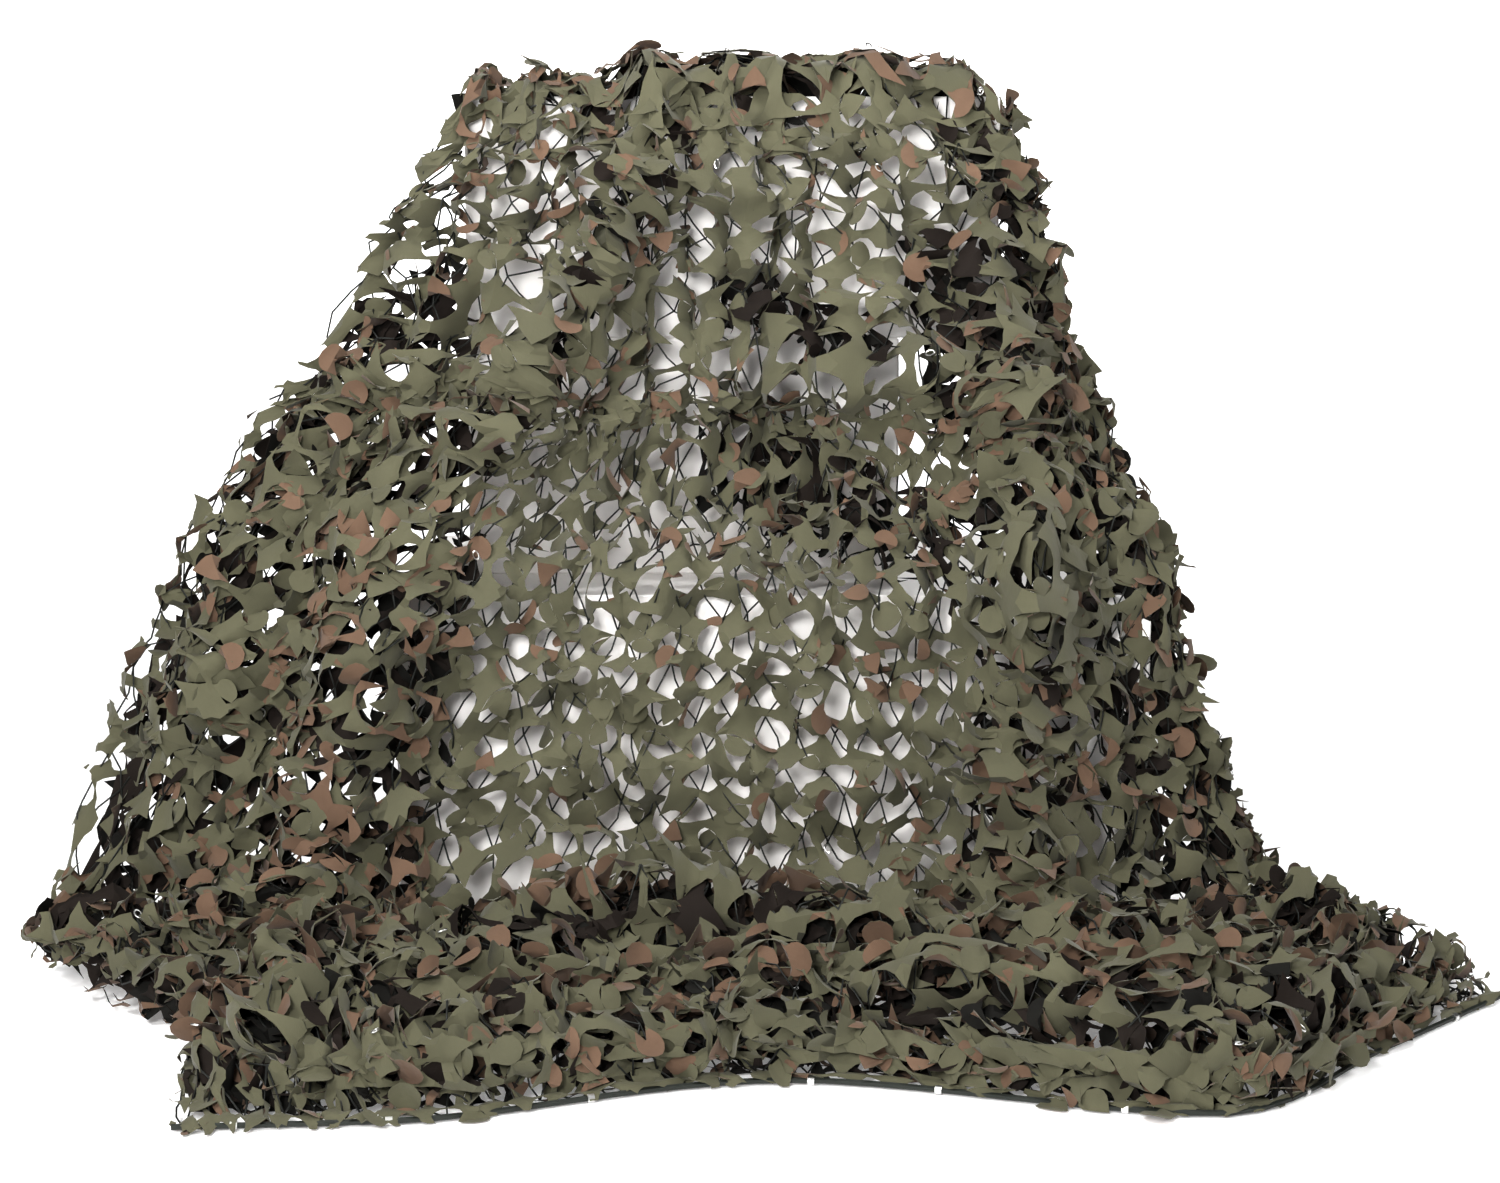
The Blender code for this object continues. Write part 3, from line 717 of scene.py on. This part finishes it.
# the way round a cell's border, from the middle of its right side, in quarters of a cell
roundTurns = 2 * math.pi * np.arange(leafCut["ringSteps"]) / leafCut["ringSteps"]
roundCircle = np.stack([np.cos(roundTurns), np.sin(roundTurns)], axis=1)
quarterSteps = np.rint(2 * roundCircle / np.abs(roundCircle).max(axis=1, keepdims=True)).astype(int)
boxRoom = leafCut["room"] * (np.array(cadBox[1]) - np.array(cadBox[0])) + 0.008
boxLow, boxHigh = np.array(cadBox[0]) - boxRoom, np.array(cadBox[1]) + boxRoom

# cells are laid half a cell over the edges, so that the edge runs through the cuts
wideCell = cloth["cell"]
rowCount = round((cloth["front"] + cloth["back"]) / cloth["cell"]) + 1
deepCell = (cloth["front"] + cloth["back"]) / (rowCount - 1.5)


def depthIn(capsules, across, fall):
    # how deep in the nearest capsule, as a share of its half width: 1 on its middle line, 0 and less outside
    deepest = np.full(np.shape(across), -9.0)
    for acrossA, fallA, acrossB, fallB, halfWidth in capsules:
        runA, runF = acrossB - acrossA, fallB - fallA
        t = ramp(((across - acrossA) * runA + (fall - fallA) * runF) / (runA ** 2 + runF ** 2))
        away = np.hypot(across - acrossA - t * runA, fall - fallA - t * runF)
        deepest = np.maximum(deepest, 1 - away / halfWidth)
    return deepest


def sunk(across, fall):
    # how far the leaves and the mesh hang in from the net's outer folds
    flatFront = ramp(depthIn(openFront, across, fall) * 2.5)
    atRight = turnedBack(across) * ramp((2.75 - fall) / 0.30)
    return (leafCut["sinkOnTop"] * onTop(fall) + leafCut["sinkInFront"] * flatFront
            + leafCut["sinkAtRight"] * atRight)


def tiltLeaves(layer, star, x, y):
    # how one leaf lies: its lift, how it moves along the cloth, tips, turns and bends
    i = np.clip(star[0] + 1, 0, layer["columns"] + 1)
    j = np.clip(star[1] + 1, 0, rowCount + 1)
    lots = layer["lots"][j, i]
    x, y = x - (star[0] + 0.5) * wideCell, y - ((star[1] + 0.5) * deepCell - cloth["back"])
    up = (lots[..., 0] + lots[..., 1] * x + lots[..., 2] * y + lots[..., 3] * (x ** 2 + y ** 2)
          + lots[..., 7] * x * y)
    aside = lots[..., 4] - lots[..., 6] * y
    down = lots[..., 5] + lots[..., 6] * x
    return np.stack([aside, down, up], axis=-1)


def drawLeaves(layer):
    # eight numbers for each leaf, all drawn by lot
    rng = np.random.default_rng(layer["seed"] + 20)
    i, j = np.meshgrid(np.arange(-1, layer["columns"] + 1), np.arange(-1, rowCount + 1))
    depth = depthIn(doubled, (i + 0.5) * wideCell * layer["pleated"], (j + 0.5) * deepCell - cloth["back"])
    heap = ramp(depth * 2.5)
    tilt = leafCut["tilt"] + (leafCut["heapedTilt"] - leafCut["tilt"]) * heap
    lots = np.clip(rng.normal(0.0, 1.0, i.shape + (8,)), -1.7, 1.7)
    for number, most in enumerate((leafCut["lift"], tilt, tilt, leafCut["bend"], leafCut["slip"],
                                   leafCut["slip"], leafCut["turn"], leafCut["twist"])):
        more = 1 + heap if number in (0, 3, 7) else 1.0
        lots[..., number] = most * lots[..., number] * more
    return lots


def stray(across, fall, seed):
    # metres by which the cells lie off their straight rows
    coarse, fine = (softNoise(across, fall, pitch, seed + number)
                    for number, pitch in enumerate(ripple["driftPitches"]))
    return ripple["drift"] * (coarse + 0.7 * fine)


def clothPoints(across, fall, layer, ownLeaf=None):
    # points on the hanging cloth; at a neck a point lies between its two leaves, and the tip of a
    # cut arm keeps to its own leaf; where the net is pleated only the outer runs of the pleats are made
    if ownLeaf is None:
        x, y = across / wideCell, (fall + cloth["back"]) / deepCell
        i = np.clip(np.floor(x), 0, layer["columns"] - 2).astype(int)
        j = np.clip(np.floor(y), 0, rowCount - 1).astype(int)
        x, y = x - i - 0.5, y - j - 0.5
        near = leafCut["near"]
        a, b = (ramp((np.abs(way) - 0.5 + near) / near)[:, None] for way in (x, y))
        a, b = 0.5 * a * a * (3 - 2 * a), 0.5 * b * b * (3 - 2 * b)
        nextI, nextJ = i + np.sign(x).astype(int), j + np.sign(y).astype(int)
        own, beside, under, corner = (tiltLeaves(layer, star, across, fall) for star in
                                      ((i, j), (nextI, j), (i, nextJ), (nextI, nextJ)))
        stir = (own * (1 - a) + beside * a) * (1 - b) + (under * (1 - a) + corner * a) * b
    else:
        stir = tiltLeaves(layer, ownLeaf, across, fall)
    across = across * layer["pleated"]
    edge = ramp(np.minimum(across, cloth["width"] - across) / 0.08)
    ends = ramp((fall + cloth["back"]) / 0.08)
    atHem = np.clip((cloth["front"] - fall) / 0.10, 0.35, 1.0)
    strayA, strayF = (stray(across, fall, layer["seed"] + more) for more in (1, 3))
    across, fall = across + strayA * edge, fall + strayF * ends * atHem
    net = hung[layer["hang"]]
    normal, smoothNormal, alongA, alongF = (unit(readOff(net[field], across, fall)) for field in
                                            ("normals", "smoothNormals", "across", "fall"))
    points = (readOff(net["points"], across, fall) + normal * stir[:, 2:3]
              + alongA * stir[:, 0:1] + alongF * stir[:, 1:2])
    points = points - smoothNormal * (layer["behind"] + sunk(across, fall))[:, None]
    points[:, 2] += leafCut["hemLift"] * ramp((fall - cloth["front"] + 0.08) / 0.05)
    # the hem lies flat over its cord, and its leaves come down to the floor past it
    inside = np.clip(cloth["front"] - 0.03 - fall, 0.0, None)
    past = ramp((fall - cloth["front"] - 0.002) / 0.022)
    most = np.where(fall < 1.0, np.inf, leafCut["hemHeight"] + 1.2 * inside - 0.013 * past)
    points[:, 2] = np.minimum(points[:, 2], most)
    return points, normal


def cutPattern(layer):
    # what is drawn by lot for each cell: size and place of the cut, its tongue, and the broken necks
    rng = np.random.default_rng(leafCut["seed"] + layer["seed"])
    shape = (rowCount, layer["columns"])
    row, column = np.indices(shape)
    heap = depthIn(doubled, column * wideCell * layer["pleated"], row * deepCell - cloth["back"]) > 0.0
    kinds = list(tongues)
    # the necks to the right of each cut and below it; each leaf keeps at least one
    broken = np.stack([rng.uniform(0, 1, shape) < leafCut["broken"] for _ in range(2)], axis=-1)
    for r in range(1, rowCount):
        for c in range(1, layer["columns"]):
            if broken[r, c, 0] and broken[r - 1, c].all() and broken[r - 1, c - 1, 1]:
                broken[r - 1, c, 0] = False
    pattern = {"radius": cloth["hole"] * rng.uniform(*leafCut["sizes"], shape),
               "shift": rng.uniform(-leafCut["offCentre"], leafCut["offCentre"], shape + (2,)),
               "oval": rng.uniform(0.0, leafCut["oval"], shape),
               "ovalTurn": rng.uniform(0, math.pi, shape),
               "broken": broken,
               "tip": rng.uniform(-1, 1, shape + (2, 2, 3)),
               "kind": np.where(heap, rng.choice(kinds, shape, p=leafCut["heapedShares"]),
                                rng.choice(kinds, shape, p=leafCut["openShares"])),
               "mirror": rng.choice([-1.0, 1.0], shape)}
    # a tongue hangs from above, from a side or from below
    hinge = rng.choice(list(hinges), size=shape, p=list(hinges.values()))
    below = np.isin(hinge, (2, 3, 4, 5, 6))
    fallHere = row * deepCell - cloth["back"]
    inFront = fallHere > 0.94
    shut, ajar, foldedBack = (np.where(heap, a, np.where(inFront, b, c)) for a, b, c in
                              (leafCut["shut"], leafCut["ajar"], leafCut["foldedBack"]))
    draw = rng.uniform(0, 1, shape)
    angle = rng.uniform(*leafCut["shutBy"], shape)
    angle = np.where(draw > shut, rng.uniform(*leafCut["ajarBy"], shape), angle)
    angle = np.where(draw > ajar, rng.uniform(*leafCut["foldedBackBy"], shape), angle)
    folds = draw > np.where(below, leafCut["foldedBackBelow"], foldedBack)
    overTop = fallHere < 0.40
    inFromSide = np.where(overTop, 1, 3)
    folds &= (column >= inFromSide) & (column < layer["columns"] - inFromSide) & (fallHere > 0.12)
    angle = np.where(folds, rng.uniform(*leafCut["foldedOverBy"], shape), angle)
    angle = np.where(overTop & (angle > 20), np.where(folds, 174.0, 20.0), angle)
    pattern["hinge"] = hinge
    pattern["open"] = np.radians(angle)
    curl = np.where(overTop, 0.4, np.where(heap, 1.6, 1.0))
    pattern["curl"] = np.radians(rng.uniform(-leafCut["curl"], leafCut["curl"], shape) * curl)
    pattern["cup"] = rng.uniform(*leafCut["cup"], shape)
    skew = rng.uniform(-leafCut["skew"], leafCut["skew"], shape)
    pattern["skew"] = np.radians(skew * np.where(heap, 1.5, 1.0))
    return pattern


def makeLeafCloth(name, layer, bandRows, wanted, materials):
    # each cell is a ring round its cut, open where a neck is broken, with the tongue that hangs in it
    steps = leafCut["ringSteps"]
    pattern = layer["pattern"]
    back = cloth["back"]
    cells = [(r, c) for r in bandRows for c in range(layer["columns"]) if wanted[r, c]]
    keys, flat, tips = {}, [], {}

    def shared(key, place):
        if key not in keys:
            keys[key] = len(flat)
            flat.append(place)
        return keys[key]

    def tipOf(r, c, way, side):
        # the free point of a leaf's arm at a broken neck, short of the middle of the gap or past it
        draw = pattern["tip"][r, c, way, side]
        past = (leafCut["tipPast"] + leafCut["tipReach"] * draw[0]) * (1 - 2 * side)
        aside = leafCut["tipAside"] * draw[1]
        if way == 0:
            place = ((c + 0.5) * wideCell + aside, r * deepCell - back + past)
            leaf = (c, r - 1 + side)
        else:
            place = (c * wideCell + past, (r + 0.5) * deepCell - back + aside)
            leaf = (c - 1 + side, r)
        index = shared(("tip", r, c, way, side), place)
        tips[index] = (leaf, leafCut["tipLift"] * draw[2])
        return index

    faces = []
    ringOf = {}
    for r, c in cells:
        centre = (c * wideCell + pattern["shift"][r, c, 0], r * deepCell - back + pattern["shift"][r, c, 1])
        squeeze = 1 + np.cos(2 * (roundTurns - pattern["ovalTurn"][r, c]))
        radii = pattern["radius"][r, c] * (1 - pattern["oval"][r, c] * squeeze)
        border = [shared((4 * c + x, 4 * r + y), ((c + x / 4) * wideCell, (r + y / 4) * deepCell - back))
                  for x, y in quarterSteps]
        ring = list(range(len(flat), len(flat) + steps))
        flat += [(centre[0] + radius * math.cos(turn), centre[1] + radius * math.sin(turn))
                 for radius, turn in zip(radii, roundTurns)]
        ringOf[(r, c)] = ring
        neck = {0: (r, c, 0), 8: (r, c - 1, 0), 4: (r, c, 1), 12: (r - 1, c, 1)}
        cut = {k: min(place) >= 0 and pattern["broken"][place] for k, place in neck.items()}
        for k in range(steps):
            after = (k + 1) % steps
            if cut.get(k):
                # side 1 is the arm that comes from the far side and points back
                faces.append((tipOf(*neck[k], 1 if k in (0, 12) else 0), ring[after], border[after]))
            elif cut.get(after):
                faces.append((border[k], ring[k], tipOf(*neck[after], 0 if after in (0, 12) else 1)))
            else:
                faces.append((border[k], ring[k], ring[after], border[after]))
    flat = np.array(flat)
    points, normals = clothPoints(flat[:, 0], flat[:, 1], layer)
    order = np.array(sorted(tips), dtype=int)
    leaves = tuple(np.array([tips[n][0][k] for n in order]) for k in (0, 1))
    ownPoints, ownNormals = clothPoints(flat[order, 0], flat[order, 1], layer, leaves)
    points[order] = ownPoints + ownNormals * np.array([tips[n][1] for n in order])[:, None]
    past = leafCut["sidePast"] / layer["pleated"]
    onSheet = ((flat[:, 0] > -past) & (flat[:, 0] < (layer["columns"] - 1) * wideCell + past)
               & (flat[:, 1] > -back - 1e-6) & (flat[:, 1] < cloth["front"] + leafCut["overhang"]))
    faces = [face for face in faces if all(onSheet[v] for v in face)]
    allPoints, allPlaces, total = [points], [flat], len(points)
    for r, c in cells:
        atEdge = c in (0, layer["columns"] - 1) or r == 0
        pastHem = r == rowCount - 1 and pattern["hinge"][r, c] not in (11, 12, 13)
        hidden = layer["behind"] > 0.012 and pattern["open"][r, c] < -2.0
        if atEdge or pastHem or hidden:
            continue
        tongue, places, tongueFaces = makeTongue(points, normals, flat, ringOf[(r, c)], pattern, r, c, total)
        allPoints.append(tongue)
        allPlaces.append(places)
        faces.extend(tongueFaces)
        total += len(tongue)
    allPoints = clearOfStand(np.concatenate(allPoints), leafCut["clearance"], leafCut["lie"])
    allPlaces = np.concatenate(allPlaces)
    flatArea = 0.0
    for face in faces:
        x, y = allPlaces[list(face)].T
        flatArea += 0.5 * abs(np.dot(x, np.roll(y, -1)) - np.dot(y, np.roll(x, -1)))
    high = np.maximum(allPoints[:, 2] - leafCut["crownHeight"], 0.0)
    allPoints[:, 2] -= high * (1 - leafCut["crownPress"])
    leftOf = np.maximum(leafCut["leftEnd"] - allPoints[:, 0], 0.0)
    allPoints[:, 0] += leftOf * (1 - leafCut["leftPress"])
    allPoints = np.clip(allPoints, boxLow, boxHigh)
    allPoints[:, 2] = np.maximum(allPoints[:, 2], leafCut["offFloor"])
    used = np.zeros(len(allPoints), bool)
    used[[corner for face in faces for corner in face]] = True
    fresh = np.cumsum(used) - 1
    faces = [fresh[list(face)].tolist() for face in faces]
    piece = newPiece(name, allPoints[used], faces, materials, allPlaces[used])
    thicken = piece.modifiers.new("cloth thickness", "SOLIDIFY")
    thicken.thickness = cloth["thickness"]
    thicken.offset = -1.0
    thicken.material_offset = 1
    thicken.material_offset_rim = 0
    pick([piece])
    bpy.ops.object.modifier_apply(modifier=thicken.name)
    bpy.ops.object.shade_smooth_by_angle(angle=math.radians(34.0))
    if layer["pleated"] > 1.01:
        flatArea = sum(face.area for face in piece.data.polygons) / 2  # its cells are cut wider
    return piece, flatArea


def makeTongue(points, normals, flat, ring, pattern, r, c, start):
    # rows of five points from the ring to the tip, which curl and lean as drawn
    half, rowTable, tip = tongues[pattern["kind"][r, c]]
    steps = leafCut["ringSteps"]
    k = pattern["hinge"][r, c]
    size = pattern["radius"][r, c] * (1 - pattern["oval"][r, c])
    theta = 2 * math.pi * k / steps
    ids = [ring[(k + d) % steps] for d in (-half, 0, half)]
    side = points[ids[2]] - points[ids[0]]
    side = side / max(np.linalg.norm(side), 1e-9)
    ahead = np.cross(side, normals[ids[1]])
    ahead = ahead / max(np.linalg.norm(ahead), 1e-9)
    # the tongue starts off in its own leaf's plane
    normal = np.cross(ahead, side)
    aheadFlat = np.array((-math.cos(theta), -math.sin(theta)))
    sideFlat = np.array((-math.sin(theta), math.cos(theta)))
    hingeStart = 1 - math.cos(2 * math.pi * half / steps)
    openAngle = pattern["open"][r, c]
    for _ in range(3):
        made, places = [], []
        lastU, reach, rise = hingeStart, hingeStart * size, 0.0
        for row, (u, w, lean) in enumerate(rowTable + (tip,)):
            middle = ((u + lastU) / 2 - hingeStart) * size
            bend = openAngle * min(1.0, leafCut["bendAtRing"] + middle / (leafCut["bendOver"] * size))
            bend += pattern["curl"][r, c] * middle
            reach += math.cos(bend) * (u - lastU) * size
            rise += math.sin(bend) * (u - lastU) * size
            lastU = u
            rowUp = -math.sin(bend) * ahead + math.cos(bend) * normal
            skew = pattern["skew"][r, c] * u / 2
            rowSide = math.cos(skew) * side + math.sin(skew) * rowUp
            for v in ((-1.0, 0.0, 1.0) if row == len(rowTable) else (-1.0, -0.5, 0.0, 0.5, 1.0)):
                aside = (v * w + lean * pattern["mirror"][r, c]) * size
                made.append(points[ids[1]] + ahead * reach + normal * rise + rowSide * aside
                            + rowUp * (pattern["cup"][r, c] * (v * w) ** 2))
                places.append(flat[ids[1]] + aheadFlat * u * size + sideFlat * aside)
        made = np.array(made)
        if np.all(made > boxLow) and np.all(made < boxHigh):
            break
        openAngle = openAngle * 0.35
    # from the ring to the first row, from row to row, and from the last row to the tip
    (one, own, two), row, end = ids, start + 15, start + 20
    faces = [(one, start, start + 1), (one, start + 1, start + 2, own), (own, start + 2, start + 3, two),
             (two, start + 3, start + 4)]
    faces += [(n, n + 5, n + 6, n + 1) for n in range(start, row) if (n - start) % 5 < 4]
    faces += [(row, end, row + 1), (row + 1, end, end + 1, row + 2), (row + 2, end + 1, end + 2, row + 3),
              (row + 3, end + 2, row + 4)]
    return made, np.array(places), faces


# each layer: how the net hangs in it, metres behind the first one, seed, columns of cells, fall from and
# to, where it is, how deep in there, pieces, and which side is out
layers = (
    ("leafBack", 3, 0.0, 40, 17, -1.04, 0.42, None, 0.0, 1, "olive"),
    ("leafChest", 3, 0.0, 41, 27, 0.38, 0.94, None, 0.0, 1, "olive"),
    ("leafFront", 3, 0.0, 42, 43, 0.90, 3.00, None, 0.0, 3, "olive"),
    ("crownUnder", 11, 0.016, 60, 17, -0.30, 0.42, doubled, 0.0, 1, "brown"),
    ("crownOver", 19, -0.010, 61, 19, 0.02, 0.34, None, 0.0, 1, "olive"),
    ("chestUnder", 11, 0.022, 70, 29, 0.40, 0.94, doubled, 0.0, 1, "brown"),
    ("frontUnder", 11, 0.022, 71, 43, 0.90, 2.96, doubled, 0.0, 2, "brown"),
    ("chestDeep", 19, 0.040, 91, 29, 0.40, 0.94, doubled, 0.10, 1, "deep"),
    ("frontDeep", 19, 0.044, 90, 43, 0.90, 2.96, doubled, 0.16, 1, "deep"),
    ("chestOver", 11, -0.016, 110, 29, 0.40, 0.94, heaped, 0.0, 1, "olive"),
    ("frontOver", 11, -0.016, 111, 43, 0.90, 2.96, heaped, 0.0, 1, "olive"),
    ("crownTurned", 11, -0.016, 63, 19, 0.06, 0.36, turned, 0.0, 1, "turned"),
    ("frontTurned", 11, -0.008, 112, 43, 0.94, 2.10, turned, 0.10, 1, "turned"),
)
# the "brown" and "deep" sides out wear the near-black cloth with painted fold shade
sides = {"olive": (oliveFace, brownBack), "turned": (brownBack, oliveFace),
         "brown": (brownInPaintedShade, oliveInPaintedShade), "deep": (oliveInPaintedShade, brownBack)}
leafPieces = []
for name, hang, behind, seed, columns, fallFrom, fallTo, places, least, bands, sideOut in layers:
    layer = {"hang": hang, "behind": behind, "seed": seed, "columns": columns,
             "pleated": cloth["width"] / ((columns - 1) * wideCell)}
    layer["lots"] = drawLeaves(layer)
    layer["pattern"] = cutPattern(layer)
    cellAcross, cellFall = np.meshgrid(np.arange(columns) * wideCell * layer["pleated"],
                                       np.arange(rowCount) * deepCell - cloth["back"])
    wanted = (cellFall > fallFrom - 0.01) & (cellFall < fallTo + 0.01)
    if places is not None:
        ragged = np.random.default_rng(seed).uniform(-0.10, 0.18, wanted.shape)
        wanted &= depthIn(places, cellAcross, cellFall) > least + ragged
        wanted &= cellFall < cloth["front"] - 0.04
        wanted &= (cellAcross > 0.05) & (cellAcross < cloth["width"] - 0.05)
    if sideOut == "turned":
        wanted &= np.random.default_rng(seed + 1).uniform(0, 1, wanted.shape) < leafCut["turnedShare"][name]
    rowsUsed = np.flatnonzero(wanted.any(axis=1))
    for number, band in enumerate(np.array_split(rowsUsed, bands), start=1):
        piece, flatArea = makeLeafCloth(f"{name}_{number}", layer, band, wanted, sides[sideOut])
        leafPieces.append((piece, len(band) * deepCell, flatArea))
for piece, length, area in leafPieces:
    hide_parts("net")
    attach(piece, "root")
triangles = sum(len(face.vertices) - 2 for piece, _, _ in leafPieces for face in piece.data.polygons)
print("the leaf-cut cloth is made, triangles:", triangles)

netMesh = {
    "halfDeep": 0.066,      # metres, down, from one knot to the next line of knots
    "thread": 0.0017,       # radius
    "behind": 0.006,        # metres behind the cloth
    "clearance": 0.0025,    # from the blocks' walls
    "lie": 0.0015,          # and from their tops and the floor
}


def meshBars(wide, fallFrom, fallTo, seed):
    # knots and bars of one stretch of the mesh
    deep = round((fallTo - fallFrom) / netMesh["halfDeep"])
    across = np.linspace(0.0, cloth["width"], wide + 1)
    fall = np.linspace(fallFrom, fallTo, deep + 1)
    crossings = [(i, j) for j in range(deep + 1) for i in range(wide + 1) if (i + j) % 2 == 0]
    knots = {crossing: number for number, crossing in enumerate(crossings)}
    flat = np.array([(across[i], fall[j]) for i, j in crossings])
    pitch = cloth["width"] / wide
    drift = 0.7 * pitch * np.stack([softNoise(flat[:, 0], flat[:, 1], 0.12, 31),
                                    softNoise(flat[:, 0], flat[:, 1], 0.12, 32)], axis=1)
    flat = flat + drift + pitch * np.random.default_rng(seed).uniform(-0.38, 0.38, flat.shape)
    flat[:, 0] = np.clip(flat[:, 0], 0.0, cloth["width"])
    flat[:, 1] = np.clip(flat[:, 1], -cloth["back"], cloth["front"])
    return flat, [(first, knots[i + side, j + 1]) for (i, j), first in knots.items() for side in (-1, 1)
                  if (i + side, j + 1) in knots]


def makeBackingMesh():
    flat, bars = [], []
    for wide, fallFrom, fallTo, seed in ((28, -cloth["back"] + 0.01, 0.40, 8), (48, 0.40, 0.92, 9),
                                         (80, 0.92, cloth["front"] - 0.01, 10)):
        some, pairs = meshBars(wide, fallFrom, fallTo, seed)
        bars += [(a + len(flat), b + len(flat)) for a, b in pairs]
        flat += list(some)
    flat, bars = np.array(flat), np.array(bars)
    middle = (flat[bars[:, 0]] + flat[bars[:, 1]]) / 2
    across, fall = np.concatenate([flat, middle]).T
    normal = unit(readOff(hung[3]["smoothNormals"], across, fall))
    behind = netMesh["behind"] + sunk(across, fall)
    points = readOff(hung[3]["points"], across, fall) - normal * behind[:, None]
    points[len(flat):] += np.random.default_rng(9).uniform(-0.006, 0.006, (len(bars), 3))
    points = clearOfStand(points, netMesh["clearance"], netMesh["lie"])
    leftOf = np.maximum(leafCut["leftEnd"] + 0.02 - points[:, 0], 0.0)
    points[:, 0] += leftOf * (1 - leafCut["leftPress"] / 2)
    points[:, 2] = np.maximum(points[:, 2], netMesh["lie"])
    vertices, faces = [], []
    for n, (first, second) in enumerate(bars):
        line = np.stack([points[first], points[len(flat) + n], points[second]])
        addThread(vertices, faces, line, netMesh["thread"])
    return newPiece("backingMesh", np.concatenate(vertices), faces, (netThread,))


def addThread(vertices, faces, line, radius):
    # a three-sided thread along the line, closed at both ends
    start = 3 * len(line) * len(vertices)
    ahead = unit(np.gradient(line, axis=0))
    aside = unit(np.cross(ahead, np.array([0.31, 0.52, 0.79])))  # a way that no thread runs
    up = np.cross(ahead, aside)
    turns = [2 * math.pi * k / 3 for k in range(3)]
    vertices.append(np.array([point + radius * (math.cos(turn) * a + math.sin(turn) * b)
                              for point, a, b in zip(line, aside, up) for turn in turns]))
    for step in range(len(line) - 1):
        for k in range(3):
            here, there = start + step * 3 + k, start + step * 3 + (k + 1) % 3
            faces.append((here, there, there + 3, here + 3))
    last = start + (len(line) - 1) * 3
    faces.append((start + 2, start + 1, start))
    faces.append((last, last + 1, last + 2))


backing = makeBackingMesh()
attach(backing, "root")
print("the backing mesh is strung:", len(backing.data.polygons))

# the wire clips that hold the cloth to the mesh
fieldClip = {
    "count": 64,
    "ring": 0.0058,         # metres, to the wire's middle
    "wire": 0.0012,
    "opening": 0.0032,
    "proud": 0.006,         # in front of the net
    "offFloor": 0.010,
    "seed": 12,
}


def makeWireClip():
    # one turn of wire, opened at one end and pressed a little oval
    pick([])
    bpy.ops.mesh.primitive_torus_add(major_radius=fieldClip["ring"], minor_radius=fieldClip["wire"],
                                     major_segments=12, minor_segments=5)
    clip = bpy.context.object
    clip.data.materials.append(zincWire)
    bpy.ops.object.mode_set(mode="EDIT")
    bpy.ops.mesh.select_mode(type="FACE")
    bpy.ops.mesh.select_all(action="DESELECT")
    bpy.ops.object.mode_set(mode="OBJECT")
    for face in clip.data.polygons:
        face.select = face.center.x > 0.004 and abs(face.center.y) < fieldClip["opening"] / 2
    bpy.ops.object.mode_set(mode="EDIT")
    bpy.ops.mesh.delete(type="FACE")
    bpy.ops.mesh.select_mode(type="EDGE")
    bpy.ops.mesh.select_all(action="DESELECT")
    bpy.ops.mesh.select_non_manifold(extend=False)
    bpy.ops.mesh.edge_face_add()
    bpy.ops.mesh.select_all(action="SELECT")
    bpy.ops.transform.resize(value=(1.25, 0.8, 1.0))
    bpy.ops.mesh.normals_make_consistent(inside=False)
    bpy.ops.object.mode_set(mode="OBJECT")
    return clip


def makeFieldClips():
    first = makeWireClip()
    rng = np.random.default_rng(fieldClip["seed"])
    across = rng.uniform(0.06, cloth["width"] - 0.06, fieldClip["count"])
    hanging = fieldClip["count"] // 2
    fall = np.concatenate([rng.uniform(0.10, 2.0, hanging),
                           rng.uniform(1.9, cloth["front"] - 0.03, fieldClip["count"] - hanging)])
    normal = unit(readOff(hung[3]["smoothNormals"], across, fall))
    proud = fieldClip["proud"] - sunk(across, fall)
    places = readOff(hung[3]["points"], across, fall) + normal * proud[:, None]
    places[:, 2] = np.maximum(places[:, 2], fieldClip["offFloor"])
    copies = []
    for place, facing in zip(places, normal):
        copy = first.copy()
        copy.data = first.data.copy()
        bpy.context.collection.objects.link(copy)
        lean = Vector(facing + rng.uniform(-0.5, 0.5, 3)).to_track_quat("Z", "Y").to_matrix().to_4x4()
        turn = Matrix.Rotation(rng.uniform(0, 6.28), 4, "Z")
        copy.matrix_world = Matrix.Translation(Vector(place)) @ lean @ turn
        copies.append(copy)
    bpy.data.objects.remove(first)
    pick(copies)
    bpy.ops.object.join()
    clips = bpy.context.object
    clips.name = "fieldClips"
    bpy.ops.object.transform_apply(location=True, rotation=True, scale=True)
    bpy.ops.object.shade_smooth_by_angle(angle=math.radians(60.0))
    return clips


clips = makeFieldClips()
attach(clips, "root")
print("the clips are on:", len(clips.data.polygons))

# the stand, the hem's clips and its cord are carried over with new finishes
for name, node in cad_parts.items():
    if name != "net":
        finish = paintedBoard if name in standBlocks else hemCord if name == "edge_cord" else zincWire
        node.data.materials.clear()
        node.data.materials.append(finish)
